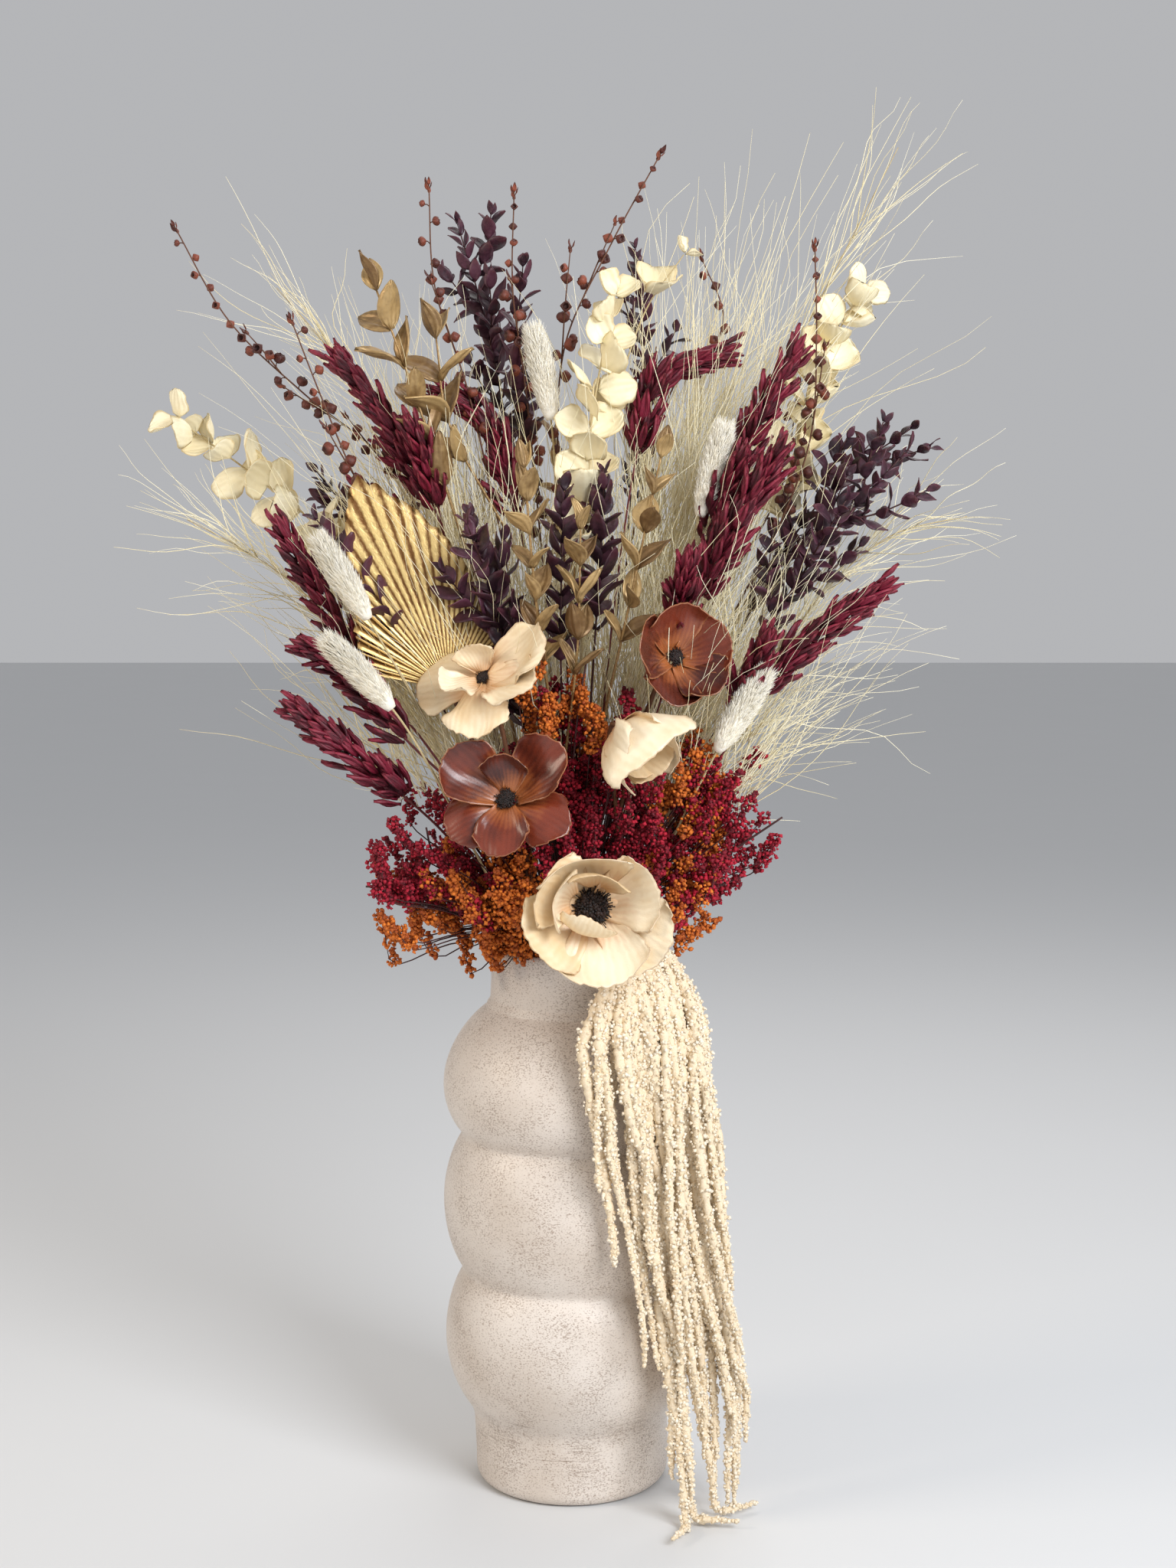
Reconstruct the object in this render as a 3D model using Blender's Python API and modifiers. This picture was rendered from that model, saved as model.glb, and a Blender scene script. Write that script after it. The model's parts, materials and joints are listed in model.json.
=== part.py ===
"""Dried flower arrangement in a three-lobed stoneware vase.

The vase is a turned shell. A dry foam plug sits in its neck, and every stem stands in its own hole
in that plug. The arrangement lifts out of the vase in one piece, and the amaranth tails that hang
over the rim swing outward from the end of their stalk.

Metres, +Z up, the front of the arrangement faces -Y. The origin is the centre of the vase's
underside. Heights in the stem tables are above the vase's rim.
"""

import math

import bmesh
import bpy
from mathutils import Vector

# ---- vase ----
FOOT_RADIUS = 0.060
FOOT_HEIGHT = 0.045
FOOT_EDGE = 0.007
FOOT_EDGE_STEPS = 3
LOWER_LOBE_RADIUS = 0.0785
MIDDLE_LOBE_RADIUS = 0.0795
UPPER_LOBE_RADIUS = 0.0775
CREASE_RADIUS = 0.0665
NECK_RADIUS = 0.050
LOWER_LOBE = 0.089
MIDDLE_LOBE = 0.087
UPPER_LOBE = 0.080
NECK_HEIGHT = 0.036
LOBE_ROUNDNESS = 0.8
WALL = 0.005
VASE_SIDES = 28
LOBE_POINTS = 6

# ---- foam plug ----
PLUG_DEPTH = 0.037
PLUG_BELOW_RIM = 0.010
PLUG_CLEARANCE = 0.0007
STEM_DEPTH = 0.030
HOLE_CLEARANCE = 0.0004
HOLE_EDGE = 0.0055
HOLE_SIDES = 6

# ---- stems ----
FAN = 2.4
LEAN_SHARE = 0.6
LEAN_LIMIT = 0.42
EXIT_RISE = 0.024
ROUTE_POINTS = 9
FINE_STEPS = 12
HEAD_END = 0.97
HEAD_FULLNESS = 0.7

# ---- flowers ----
PETAL_THICKNESS = 0.0008
PETAL_HOLE = 0.0045
PETAL_NOTCH = 0.22
SPOKES_PER_PETAL = 4
SPAN_STEPS = 4
FLOWER_NECK_RADIUS = 0.0018
FLOWER_NECK_LENGTH = 0.0015
STEM_APPROACH = (0.016, 0.008)

# ---- palm spear ----
SPEAR_LENGTH = 0.118
SPEAR_HALF_WIDTH = 0.036
SPEAR_PLEATS = 8
SPEAR_PLEAT_DEPTH = 0.005
SPEAR_THICKNESS = 0.001
SPEAR_GAP = 0.001
SPEAR_ROWS = 7
SPEAR_BASE_SHARE = 0.10
SPEAR_FULLNESS = 0.8
SPEAR_SLANT = 0.30
SPEAR_BASE_PLEAT = 0.15

# ---- hanging amaranth ----
TAIL_GAP = 0.004
TAIL_HALF_DEPTH = 0.006
TAIL_HALF_WIDTH = 0.0105
TAIL_SIDES = 8
TAIL_RINGS = 12
TAIL_START_GAP = 0.004
TAIL_SHOULDER_IN = 0.006
TAIL_HALFWAY_TURN = 0.35
STALK_REACH = 0.008
STALK_RISE = 0.026
STALK_END_SHARE = 0.75
STALK_CREST_IN = 0.002
TAIL_AZIMUTH = -50

RIM_Z = FOOT_HEIGHT + LOWER_LOBE + MIDDLE_LOBE + UPPER_LOBE + NECK_HEIGHT
PLUG_RADIUS = NECK_RADIUS - WALL - PLUG_CLEARANCE
PLUG_TOP = RIM_Z - PLUG_BELOW_RIM
WIDEST_RADIUS = max(LOWER_LOBE_RADIUS, MIDDLE_LOBE_RADIUS, UPPER_LOBE_RADIUS)

# A kind of stem: stalk radius, head radius, head length and material.
KINDS = {
    "bead": (0.0010, 0.0035, 0.130, "bead_pods"),
    "eucalyptus": (0.0012, 0.0065, 0.110, "cream_leaves"),
    "parvifolia": (0.0012, 0.0060, 0.080, "purple_leaves"),
    "oat": (0.0010, 0.0080, 0.085, "burgundy_oats"),
    "gold": (0.0013, 0.0070, 0.130, "gold_leaves"),
    "tail": (0.0010, 0.0085, 0.056, "bunny_tails"),
    "crimson": (0.0011, 0.0120, 0.050, "crimson_sprigs"),
    "orange": (0.0011, 0.0100, 0.045, "orange_sprigs"),
    "grass": (0.0011, 0.0028, 0.200, "feather_grass"),
    "stalk": (0.0015, 0.0015, 0.010, "wood_stems"),
}

# Every straight-standing stem: its kind, then the points it bows through, from low to its tip.
STEMS = {
    "bead_stem_far_left": ("bead", [(-0.060, 0.030, 0.175), (-0.110, 0.040, 0.290), (-0.195, 0.035, 0.362),
                                    (-0.241, 0.030, 0.437)]),
    "bead_stem_left": ("bead", [(-0.080, -0.010, 0.190), (-0.128, -0.020, 0.285), (-0.165, -0.020, 0.378)]),
    "bead_stem_upper_left": ("bead", [(-0.034, 0.012, 0.200), (-0.062, 0.014, 0.335),
                                      (-0.085, 0.012, 0.412), (-0.085, 0.010, 0.459)]),
    "bead_stem_top": ("bead", [(-0.014, 0.030, 0.180), (-0.026, 0.040, 0.320), (-0.036, 0.042, 0.400),
                               (-0.035, 0.042, 0.459)]),
    "bead_stem_tall": ("bead", [(-0.003, 0.014, 0.200), (-0.008, 0.020, 0.340), (0.014, 0.022, 0.405),
                                (0.054, 0.022, 0.479)]),
    "bead_stem_right": ("bead", [(0.085, 0.014, 0.170), (0.143, 0.012, 0.300), (0.146, 0.008, 0.424)]),
    "eucalyptus_left": ("eucalyptus", [(-0.085, 0.055, 0.150), (-0.160, 0.060, 0.255),
                                       (-0.208, 0.060, 0.294), (-0.246, 0.055, 0.322)]),
    "eucalyptus_middle": ("eucalyptus", [(0.006, -0.012, 0.170), (0.010, -0.018, 0.300),
                                         (0.026, -0.020, 0.390)]),
    "eucalyptus_right": ("eucalyptus", [(0.070, 0.040, 0.120), (0.126, 0.055, 0.250), (0.150, 0.060, 0.345),
                                        (0.182, 0.060, 0.402)]),
    "parvifolia_top": ("parvifolia", [(-0.022, 0.055, 0.180), (-0.047, 0.080, 0.350),
                                      (-0.072, 0.085, 0.445)]),
    "parvifolia_back": ("parvifolia", [(0.026, 0.060, 0.180), (0.045, 0.085, 0.340),
                                       (0.040, 0.085, 0.430)]),
    "parvifolia_right": ("parvifolia", [(0.095, 0.030, 0.170), (0.150, 0.030, 0.268),
                                        (0.207, 0.025, 0.315)]),
    "parvifolia_low_right": ("parvifolia", [(0.085, -0.018, 0.130), (0.140, -0.026, 0.232),
                                            (0.194, -0.028, 0.296)]),
    "parvifolia_left": ("parvifolia", [(-0.070, 0.075, 0.130), (-0.125, 0.105, 0.235),
                                       (-0.165, 0.110, 0.290)]),
    "parvifolia_middle": ("parvifolia", [(-0.023, -0.024, 0.110), (-0.040, -0.038, 0.190),
                                         (-0.058, -0.044, 0.262)]),
    "oat_upper_left": ("oat", [(-0.052, -0.002, 0.160), (-0.088, 0.000, 0.280), (-0.140, 0.004, 0.358)]),
    "oat_left": ("oat", [(-0.070, -0.018, 0.100), (-0.124, -0.016, 0.172), (-0.172, -0.018, 0.255)]),
    "oat_low_left": ("oat", [(-0.068, -0.038, 0.066), (-0.112, -0.052, 0.110), (-0.160, -0.056, 0.150)]),
    "oat_top_right": ("oat", [(0.022, 0.008, 0.170), (0.040, 0.012, 0.300), (0.058, 0.016, 0.352),
                              (0.095, 0.022, 0.362)]),
    "oat_upper_right": ("oat", [(0.052, 0.000, 0.150), (0.096, -0.006, 0.285), (0.134, -0.008, 0.360)]),
    "oat_right": ("oat", [(0.044, -0.028, 0.120), (0.076, -0.040, 0.215), (0.122, -0.048, 0.302)]),
    "oat_low_right": ("oat", [(0.072, -0.028, 0.086), (0.122, -0.040, 0.172), (0.184, -0.045, 0.222)]),
    "gold_branch_left": ("gold", [(-0.034, -0.012, 0.130), (-0.064, -0.018, 0.246), (-0.096, -0.022, 0.345),
                                  (-0.114, -0.022, 0.394)]),
    "gold_branch_middle": ("gold", [(-0.008, -0.034, 0.110), (-0.020, -0.066, 0.215),
                                    (-0.026, -0.070, 0.290)]),
    "gold_branch_right": ("gold", [(0.014, -0.030, 0.110), (0.034, -0.058, 0.210), (0.052, -0.066, 0.296)]),
    "gold_branch_back": ("gold", [(0.008, 0.070, 0.110), (0.004, 0.110, 0.200), (-0.012, 0.120, 0.310)]),
    "bunny_tail_top": ("tail", [(-0.008, -0.004, 0.160), (-0.010, -0.008, 0.300), (-0.022, -0.010, 0.370)]),
    "bunny_tail_right": ("tail", [(0.038, -0.012, 0.130), (0.073, -0.022, 0.250), (0.090, -0.028, 0.312)]),
    "bunny_tail_left": ("tail", [(-0.066, -0.030, 0.100), (-0.112, -0.052, 0.192),
                                 (-0.145, -0.056, 0.247)]),
    "bunny_tail_low_left": ("tail", [(-0.060, -0.052, 0.072), (-0.098, -0.072, 0.145),
                                     (-0.138, -0.078, 0.190)]),
    "bunny_tail_low_right": ("tail", [(0.060, -0.040, 0.070), (0.086, -0.058, 0.126),
                                      (0.112, -0.066, 0.170)]),
    "crimson_sprig_left": ("crimson", [(-0.056, -0.036, 0.040), (-0.078, -0.056, 0.058),
                                       (-0.084, -0.070, 0.082)]),
    "crimson_sprig_middle": ("crimson", [(0.008, -0.036, 0.050), (0.012, -0.050, 0.085),
                                         (0.014, -0.058, 0.118)]),
    "crimson_sprig_right": ("crimson", [(0.066, -0.016, 0.040), (0.098, -0.032, 0.064),
                                        (0.126, -0.038, 0.084)]),
    "orange_sprig_top": ("orange", [(0.000, -0.040, 0.090), (0.004, -0.056, 0.145),
                                    (0.010, -0.060, 0.182)]),
    "orange_sprig_left": ("orange", [(-0.062, -0.012, 0.024), (-0.092, -0.018, 0.036),
                                     (-0.124, -0.024, 0.040)]),
    "grass_tall_right": ("grass", [(0.060, 0.070, 0.160), (0.120, 0.095, 0.320), (0.205, 0.085, 0.492)]),
    "grass_right": ("grass", [(0.080, -0.003, 0.110), (0.170, -0.002, 0.235), (0.238, -0.005, 0.262)]),
    "grass_left": ("grass", [(-0.080, 0.030, 0.110), (-0.165, 0.030, 0.215), (-0.235, 0.020, 0.260)]),
    "grass_upper_left": ("grass", [(-0.055, 0.075, 0.180), (-0.120, 0.090, 0.320), (-0.186, 0.080, 0.405)]),
    "grass_back": ("grass", [(0.040, 0.075, 0.120), (0.070, 0.120, 0.250), (0.090, 0.125, 0.380)]),
}

# A flower: centre, the way it faces, petal radius, cup depth, petal count, centre radius, the
# points its stem bows through, and its material.
FLOWERS = {
    "cream_flower_upper_left": ((-0.050, -0.064, 0.168), (-0.35, -0.70, 0.62), 0.040, 0.016, 5, 0.006,
                                [(-0.029, -0.034, 0.070)], "cream_petals"),
    "copper_flower_upper_right": ((0.060, -0.058, 0.180), (0.35, -0.85, 0.25), 0.028, 0.012, 5, 0.005,
                                  [(0.030, -0.030, 0.090)], "copper_petals"),
    "cream_flower_right": ((0.028, -0.081, 0.140), (0.50, -0.75, -0.35), 0.031, 0.018, 5, 0.005,
                           [(0.028, -0.040, 0.070)], "cream_petals"),
    "copper_flower_left": ((-0.036, -0.082, 0.099), (-0.20, -0.85, 0.45), 0.036, 0.013, 5, 0.006,
                           [(-0.024, -0.044, 0.050)], "copper_petals"),
    "cream_flower_middle": ((0.012, -0.100, 0.040), (0.05, -0.98, 0.12), 0.046, 0.020, 6, 0.0125,
                            [(0.006, -0.056, 0.030)], "cream_petals"),
}
INNER_PETALS = ("cream_flower_middle", 0.029, 0.015, 4)
INNER_LIFT = 0.0035
DISC_LIFT = 0.0030
INNER_DISC_LIFT = 0.0100
DISC_HEIGHT = 0.006

SPEAR_STEM = [(-0.040, -0.027, 0.080), (-0.072, -0.032, 0.160)]
SPEAR_DIRECTION = (-0.42, 0.02, 0.90)

# Hanging tails: how far to the side of the stalk each starts, its azimuth over the upper lobe and at
# its tip in degrees, how far its tip stands out, and the height of the tip as a share of RIM_Z.
TAILS = {
    "amaranth_front": (-0.0055, -69, -60, 0.010, 0.32),
    "amaranth_middle": (0.0, -54, -45, 0.018, 0.014),
    "amaranth_side": (0.0055, -39, -30, 0.028, 0.20),
}

# Colour, roughness and metallic value of each material.
MATERIALS = {
    "stoneware": ((0.60, 0.53, 0.46), 0.45, 0.0),
    "dry_foam": ((0.16, 0.11, 0.06), 0.95, 0.0),
    "bead_pods": ((0.20, 0.06, 0.03), 0.6, 0.0),
    "cream_leaves": ((0.76, 0.62, 0.40), 0.6, 0.0),
    "purple_leaves": ((0.07, 0.02, 0.03), 0.6, 0.0),
    "burgundy_oats": ((0.14, 0.01, 0.02), 0.7, 0.0),
    "gold_leaves": ((0.50, 0.32, 0.10), 0.4, 0.6),
    "bunny_tails": ((0.80, 0.75, 0.62), 0.9, 0.0),
    "crimson_sprigs": ((0.20, 0.005, 0.02), 0.8, 0.0),
    "orange_sprigs": ((0.50, 0.12, 0.02), 0.8, 0.0),
    "feather_grass": ((0.74, 0.66, 0.48), 0.7, 0.0),
    "wood_stems": ((0.30, 0.18, 0.08), 0.8, 0.0),
    "cream_petals": ((0.78, 0.62, 0.38), 0.5, 0.0),
    "copper_petals": ((0.22, 0.08, 0.03), 0.35, 0.1),
    "gold_spear": ((0.48, 0.31, 0.10), 0.4, 0.6),
    "cream_amaranth": ((0.78, 0.68, 0.46), 0.9, 0.0),
}


def clear_scene():
    for thing in list(bpy.data.objects):
        bpy.data.objects.remove(thing, do_unlink=True)


def collection(name):
    group = bpy.data.collections.new(name)
    bpy.context.scene.collection.children.link(group)
    return group


def make_materials():
    made = {}
    for name, (colour, roughness, metallic) in MATERIALS.items():
        material = bpy.data.materials.new(name)
        material.use_nodes = True
        shader = material.node_tree.nodes["Principled BSDF"]
        shader.inputs["Base Color"].default_value = (*colour, 1.0)
        shader.inputs["Roughness"].default_value = roughness
        shader.inputs["Metallic"].default_value = metallic
        made[name] = material
    return made


def add_object(name, data, group, material=None):
    thing = bpy.data.objects.new(name, data)
    group.objects.link(thing)
    if material is not None:
        data.materials.append(material)
    return thing


def mesh_from(name, bm):
    bmesh.ops.recalc_face_normals(bm, faces=bm.faces)
    mesh = bpy.data.meshes.new(name)
    bm.to_mesh(mesh)
    bm.free()
    return mesh


# ---- vase and plug ----


def lobe(z_low, height, r_low, r_high, widest, points):
    """Points of one rounded lobe, from its top down to just above its lower crease."""
    bulge = widest - (r_low + r_high) / 2
    made = []
    for i in range(points, 0, -1):
        t = i / points
        round_out = bulge * (4 * t * (1 - t)) ** LOBE_ROUNDNESS
        made.append((r_low + (r_high - r_low) * t + round_out, z_low + height * t))
    return made


def vase_profile():
    """The outer wall from the rim down to the middle of the underside, as (radius, height)."""
    upper = RIM_Z - NECK_HEIGHT - UPPER_LOBE
    middle = upper - MIDDLE_LOBE
    profile = [(NECK_RADIUS, RIM_Z), (NECK_RADIUS, RIM_Z - NECK_HEIGHT / 2)]
    profile += lobe(upper, UPPER_LOBE, CREASE_RADIUS, NECK_RADIUS, UPPER_LOBE_RADIUS, LOBE_POINTS)
    profile += lobe(middle, MIDDLE_LOBE, CREASE_RADIUS, CREASE_RADIUS, MIDDLE_LOBE_RADIUS, LOBE_POINTS)
    profile += lobe(FOOT_HEIGHT, LOWER_LOBE, FOOT_RADIUS, CREASE_RADIUS, LOWER_LOBE_RADIUS, LOBE_POINTS)
    profile.append((FOOT_RADIUS, FOOT_HEIGHT))
    for i in range(FOOT_EDGE_STEPS + 1):
        turn = math.pi / 2 * i / FOOT_EDGE_STEPS
        profile.append((FOOT_RADIUS - FOOT_EDGE * (1 - math.cos(turn)), FOOT_EDGE * (1 - math.sin(turn))))
    profile.append((0.0, 0.0))
    return profile


def make_vase(group, material):
    points = [(r, 0.0, z) for r, z in vase_profile()]
    mesh = bpy.data.meshes.new("vase")
    mesh.from_pydata(points, [(i, i + 1) for i in range(len(points) - 1)], [])
    vase = add_object("vase", mesh, group, material)
    screw = vase.modifiers.new("turned wall", "SCREW")
    screw.steps = VASE_SIDES
    screw.render_steps = VASE_SIDES
    screw.use_merge_vertices = True
    screw.merge_threshold = 0.0001
    wall = vase.modifiers.new("wall thickness", "SOLIDIFY")
    wall.thickness = WALL
    wall.offset = -1.0
    wall.use_even_offset = True
    return vase


def make_plug(group, cutters, material):
    bm = bmesh.new()
    bmesh.ops.create_cone(bm, cap_ends=True, segments=VASE_SIDES, radius1=PLUG_RADIUS,
                          radius2=PLUG_RADIUS, depth=PLUG_DEPTH)
    plug = add_object("foam_plug", mesh_from("foam_plug", bm), group, material)
    plug.location.z = PLUG_TOP - PLUG_DEPTH / 2
    cut = plug.modifiers.new("stem holes", "BOOLEAN")
    cut.operation = "DIFFERENCE"
    cut.operand_type = "COLLECTION"
    cut.collection = cutters
    cut.solver = "EXACT"
    return plug


def cut_hole(name, low, direction, radius, cutters):
    """A straight cutter from the stem's foot up through the top of the plug."""
    length = STEM_DEPTH + PLUG_BELOW_RIM + HOLE_CLEARANCE
    corner = radius / math.cos(math.pi / HOLE_SIDES)
    bm = bmesh.new()
    bmesh.ops.create_cone(bm, cap_ends=True, segments=HOLE_SIDES, radius1=corner, radius2=corner,
                          depth=length)
    hole = add_object(name + "_hole", mesh_from(name + "_hole", bm), cutters)
    hole.location = low + direction * (length / 2 - HOLE_CLEARANCE)
    hole.rotation_mode = "QUATERNION"
    hole.rotation_quaternion = direction.to_track_quat("Z", "Y")
    hole.hide_render = True
    hole.display_type = "WIRE"


# ---- stems ----


def smooth_route(points, count):
    """Points spread evenly along a smooth curve through the given ones."""
    padded = [points[0] * 2 - points[1], *points, points[-1] * 2 - points[-2]]
    fine = []
    for a, b, c, d in zip(padded, padded[1:], padded[2:], padded[3:]):
        for i in range(FINE_STEPS):
            t = i / FINE_STEPS
            fine.append(b + (c - a) * (t / 2) + (a * 2 - b * 5 + c * 4 - d) * (t * t / 2)
                        + (b * 3 - a - c * 3 + d) * (t ** 3 / 2))
    fine.append(points[-1].copy())
    lengths = [0.0]
    for a, b in zip(fine, fine[1:]):
        lengths.append(lengths[-1] + (b - a).length)
    route = []
    step = 0
    for i in range(count):
        want = lengths[-1] * i / (count - 1)
        while step < len(fine) - 2 and lengths[step + 1] < want:
            step += 1
        part = (want - lengths[step]) / max(lengths[step + 1] - lengths[step], 1e-9)
        route.append(fine[step].lerp(fine[step + 1], min(part, 1.0)))
    return route


def planted(first):
    """Foot, plug-top point, exit point and direction of a stem that heads for its first point."""
    rise = first.z - PLUG_TOP
    slope = math.hypot(first.x, first.y) / rise
    outward = Vector((first.x, first.y, 0)).normalized()
    radius = (PLUG_RADIUS - HOLE_EDGE) * (1 - math.exp(-FAN * slope))
    top = outward * radius + Vector((0, 0, PLUG_TOP))
    direction = (outward * min(slope * LEAN_SHARE, LEAN_LIMIT) + Vector((0, 0, 1))).normalized()
    return top - direction * STEM_DEPTH, top, top + direction * EXIT_RISE, direction


def head_radius(along, length, kind):
    stalk, head, head_length, _ = KINDS[kind]
    start = length - head_length
    if along <= start:
        return stalk
    share = (along - start) / head_length
    return stalk + (head - stalk) * math.sin(math.pi * min(share, HEAD_END)) ** HEAD_FULLNESS


def tube(name, points, radii, sides_resolution, group, material):
    """A wire through the points with its own radius at each of them."""
    curve = bpy.data.curves.new(name, "CURVE")
    curve.dimensions = "3D"
    curve.bevel_depth = 1.0
    curve.bevel_resolution = sides_resolution
    curve.use_fill_caps = True
    line = curve.splines.new("POLY")
    line.points.add(len(points) - 1)
    for spot, at, radius in zip(line.points, points, radii):
        spot.co = (*at, 1.0)
        spot.radius = radius
    return add_object(name, curve, group, material)


def above_rim(point):
    return Vector(point) + Vector((0, 0, RIM_Z))


def make_stem(name, kind, bends, group, cutters, materials):
    through = [above_rim(p) for p in bends]
    low, top, leave, direction = planted(through[0])
    cut_hole(name, low, direction, KINDS[kind][0] + HOLE_CLEARANCE, cutters)
    upper = smooth_route([top, leave, *through], ROUTE_POINTS)
    route = [low, *upper]
    lengths = [0.0]
    for a, b in zip(route, route[1:]):
        lengths.append(lengths[-1] + (b - a).length)
    radii = [head_radius(along, lengths[-1], kind) for along in lengths]
    return tube(name, route, radii, 0, group, materials[KINDS[kind][3]])


# ---- flowers ----


def corolla(name, centre, facing, radius, cup, petals, group, material):
    """A cupped ring of petals with a hole in the middle for the flower's neck."""
    spokes = petals * SPOKES_PER_PETAL
    bm = bmesh.new()
    rings = []
    for i in range(SPAN_STEPS):
        share = i / (SPAN_STEPS - 1)
        ring = []
        for j in range(spokes):
            turn = math.tau * j / spokes
            lobed = 1.0 - PETAL_NOTCH * share * abs(math.sin(petals * turn / 2)) ** 3
            r = PETAL_HOLE + (radius * lobed - PETAL_HOLE) * share
            ring.append(bm.verts.new((r * math.cos(turn), r * math.sin(turn), cup * (r / radius) ** 2)))
        rings.append(ring)
    for inner, outer in zip(rings, rings[1:]):
        for j in range(spokes):
            k = (j + 1) % spokes
            bm.faces.new((inner[j], outer[j], outer[k], inner[k]))
    bm.normal_update()
    flower = add_object(name, mesh_from(name, bm), group, material)
    flower.location = centre
    flower.rotation_mode = "QUATERNION"
    flower.rotation_quaternion = facing.to_track_quat("Z", "Y")
    thick = flower.modifiers.new("petal thickness", "SOLIDIFY")
    thick.thickness = PETAL_THICKNESS
    thick.offset = 0.0
    return flower


def make_flower(name, spec, group, cutters, materials):
    place, face, radius, cup, petals, disc, bends, material = spec
    centre = above_rim(place)
    facing = Vector(face).normalized()
    corolla(name + "_petals", centre, facing, radius, cup, petals, group, materials[material])
    lift = DISC_LIFT
    if name == INNER_PETALS[0]:
        corolla(name + "_inner_petals", centre + facing * INNER_LIFT, facing, *INNER_PETALS[1:], group,
                materials[material])
        lift = INNER_DISC_LIFT
    through = [above_rim(p) for p in bends]
    low, top, leave, direction = planted(through[0])
    stalk = KINDS["stalk"][0]
    cut_hole(name, low, direction, stalk + HOLE_CLEARANCE, cutters)
    approach = [centre - facing * behind for behind in STEM_APPROACH]
    route = smooth_route([top, leave, *through, *approach], ROUTE_POINTS)
    radii = [stalk] * (len(route) + 1)
    steps = [(lift + 0.001 - FLOWER_NECK_LENGTH, FLOWER_NECK_RADIUS), (lift + 0.001, disc),
             (lift + DISC_HEIGHT * 0.6, disc * 0.9), (lift + DISC_HEIGHT, disc * 0.45)]
    points = [low, *route] + [centre + facing * up for up, _ in steps]
    radii += [r for _, r in steps]
    tube(name + "_stem", points, radii, 1, group, materials["wood_stems"])


# ---- palm spear ----


def make_spear(group, cutters, materials):
    through = [above_rim(p) for p in SPEAR_STEM]
    low, top, leave, direction = planted(through[0])
    stalk = KINDS["stalk"][0]
    cut_hole("palm_spear", low, direction, stalk + HOLE_CLEARANCE, cutters)
    route = smooth_route([top, leave, *through], ROUTE_POINTS)
    tube("palm_spear_stem", [low, *route], [stalk] * (ROUTE_POINTS + 1), 0, group, materials["wood_stems"])
    along = Vector(SPEAR_DIRECTION).normalized()
    base = through[-1] + along * SPEAR_GAP
    across = Vector((0, 1, 0)).cross(along).normalized()
    out = across.cross(along).normalized()
    bm = bmesh.new()
    rows = []
    for i in range(SPEAR_ROWS):
        share = i / (SPEAR_ROWS - 1)
        swell = math.sin(math.pi * (0.06 + share * 0.80)) ** SPEAR_FULLNESS
        spread = SPEAR_BASE_SHARE + (1.0 - SPEAR_BASE_SHARE) * swell
        row = []
        for j in range(SPEAR_PLEATS * 2 + 1):
            side = j / SPEAR_PLEATS - 1.0
            fold = SPEAR_PLEAT_DEPTH * (SPEAR_BASE_PLEAT + (1.0 - SPEAR_BASE_PLEAT) * share) * (j % 2)
            reach = SPEAR_LENGTH * share * (1.0 - SPEAR_SLANT * side * side * share)
            at = base + along * reach + across * (side * SPEAR_HALF_WIDTH * spread) + out * fold
            row.append(bm.verts.new(at))
        rows.append(row)
    for near, far in zip(rows, rows[1:]):
        for j in range(len(near) - 1):
            bm.faces.new((near[j], near[j + 1], far[j + 1], far[j]))
    blade = add_object("palm_spear_blade", mesh_from("palm_spear_blade", bm), group,
                       materials["gold_spear"])
    thick = blade.modifiers.new("blade thickness", "SOLIDIFY")
    thick.thickness = SPEAR_THICKNESS
    thick.offset = 0.0


# ---- hanging amaranth ----


def outward_at(degrees):
    turn = math.radians(degrees)
    return Vector((math.cos(turn), math.sin(turn), 0))


def stalk_end():
    end_height = RIM_Z + STALK_RISE * STALK_END_SHARE
    return outward_at(TAIL_AZIMUTH) * (NECK_RADIUS + STALK_REACH) + Vector((0, 0, end_height))


def make_stalk(group, cutters, materials):
    outward = outward_at(TAIL_AZIMUTH)
    kind = KINDS["stalk"]
    top = outward * (PLUG_RADIUS - HOLE_EDGE) + Vector((0, 0, PLUG_TOP))
    up = Vector((0, 0, 1))
    cut_hole("amaranth_stalk", top - up * STEM_DEPTH, up, kind[0] + HOLE_CLEARANCE, cutters)
    crest = outward * (NECK_RADIUS - STALK_CREST_IN) + Vector((0, 0, RIM_Z + STALK_RISE))
    route = smooth_route([top, top + up * EXIT_RISE, crest, stalk_end()], ROUTE_POINTS)
    tube("amaranth_stalk", [top - up * STEM_DEPTH, *route], [kind[0]] * (ROUTE_POINTS + 1), 0, group,
         materials["wood_stems"])


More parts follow.
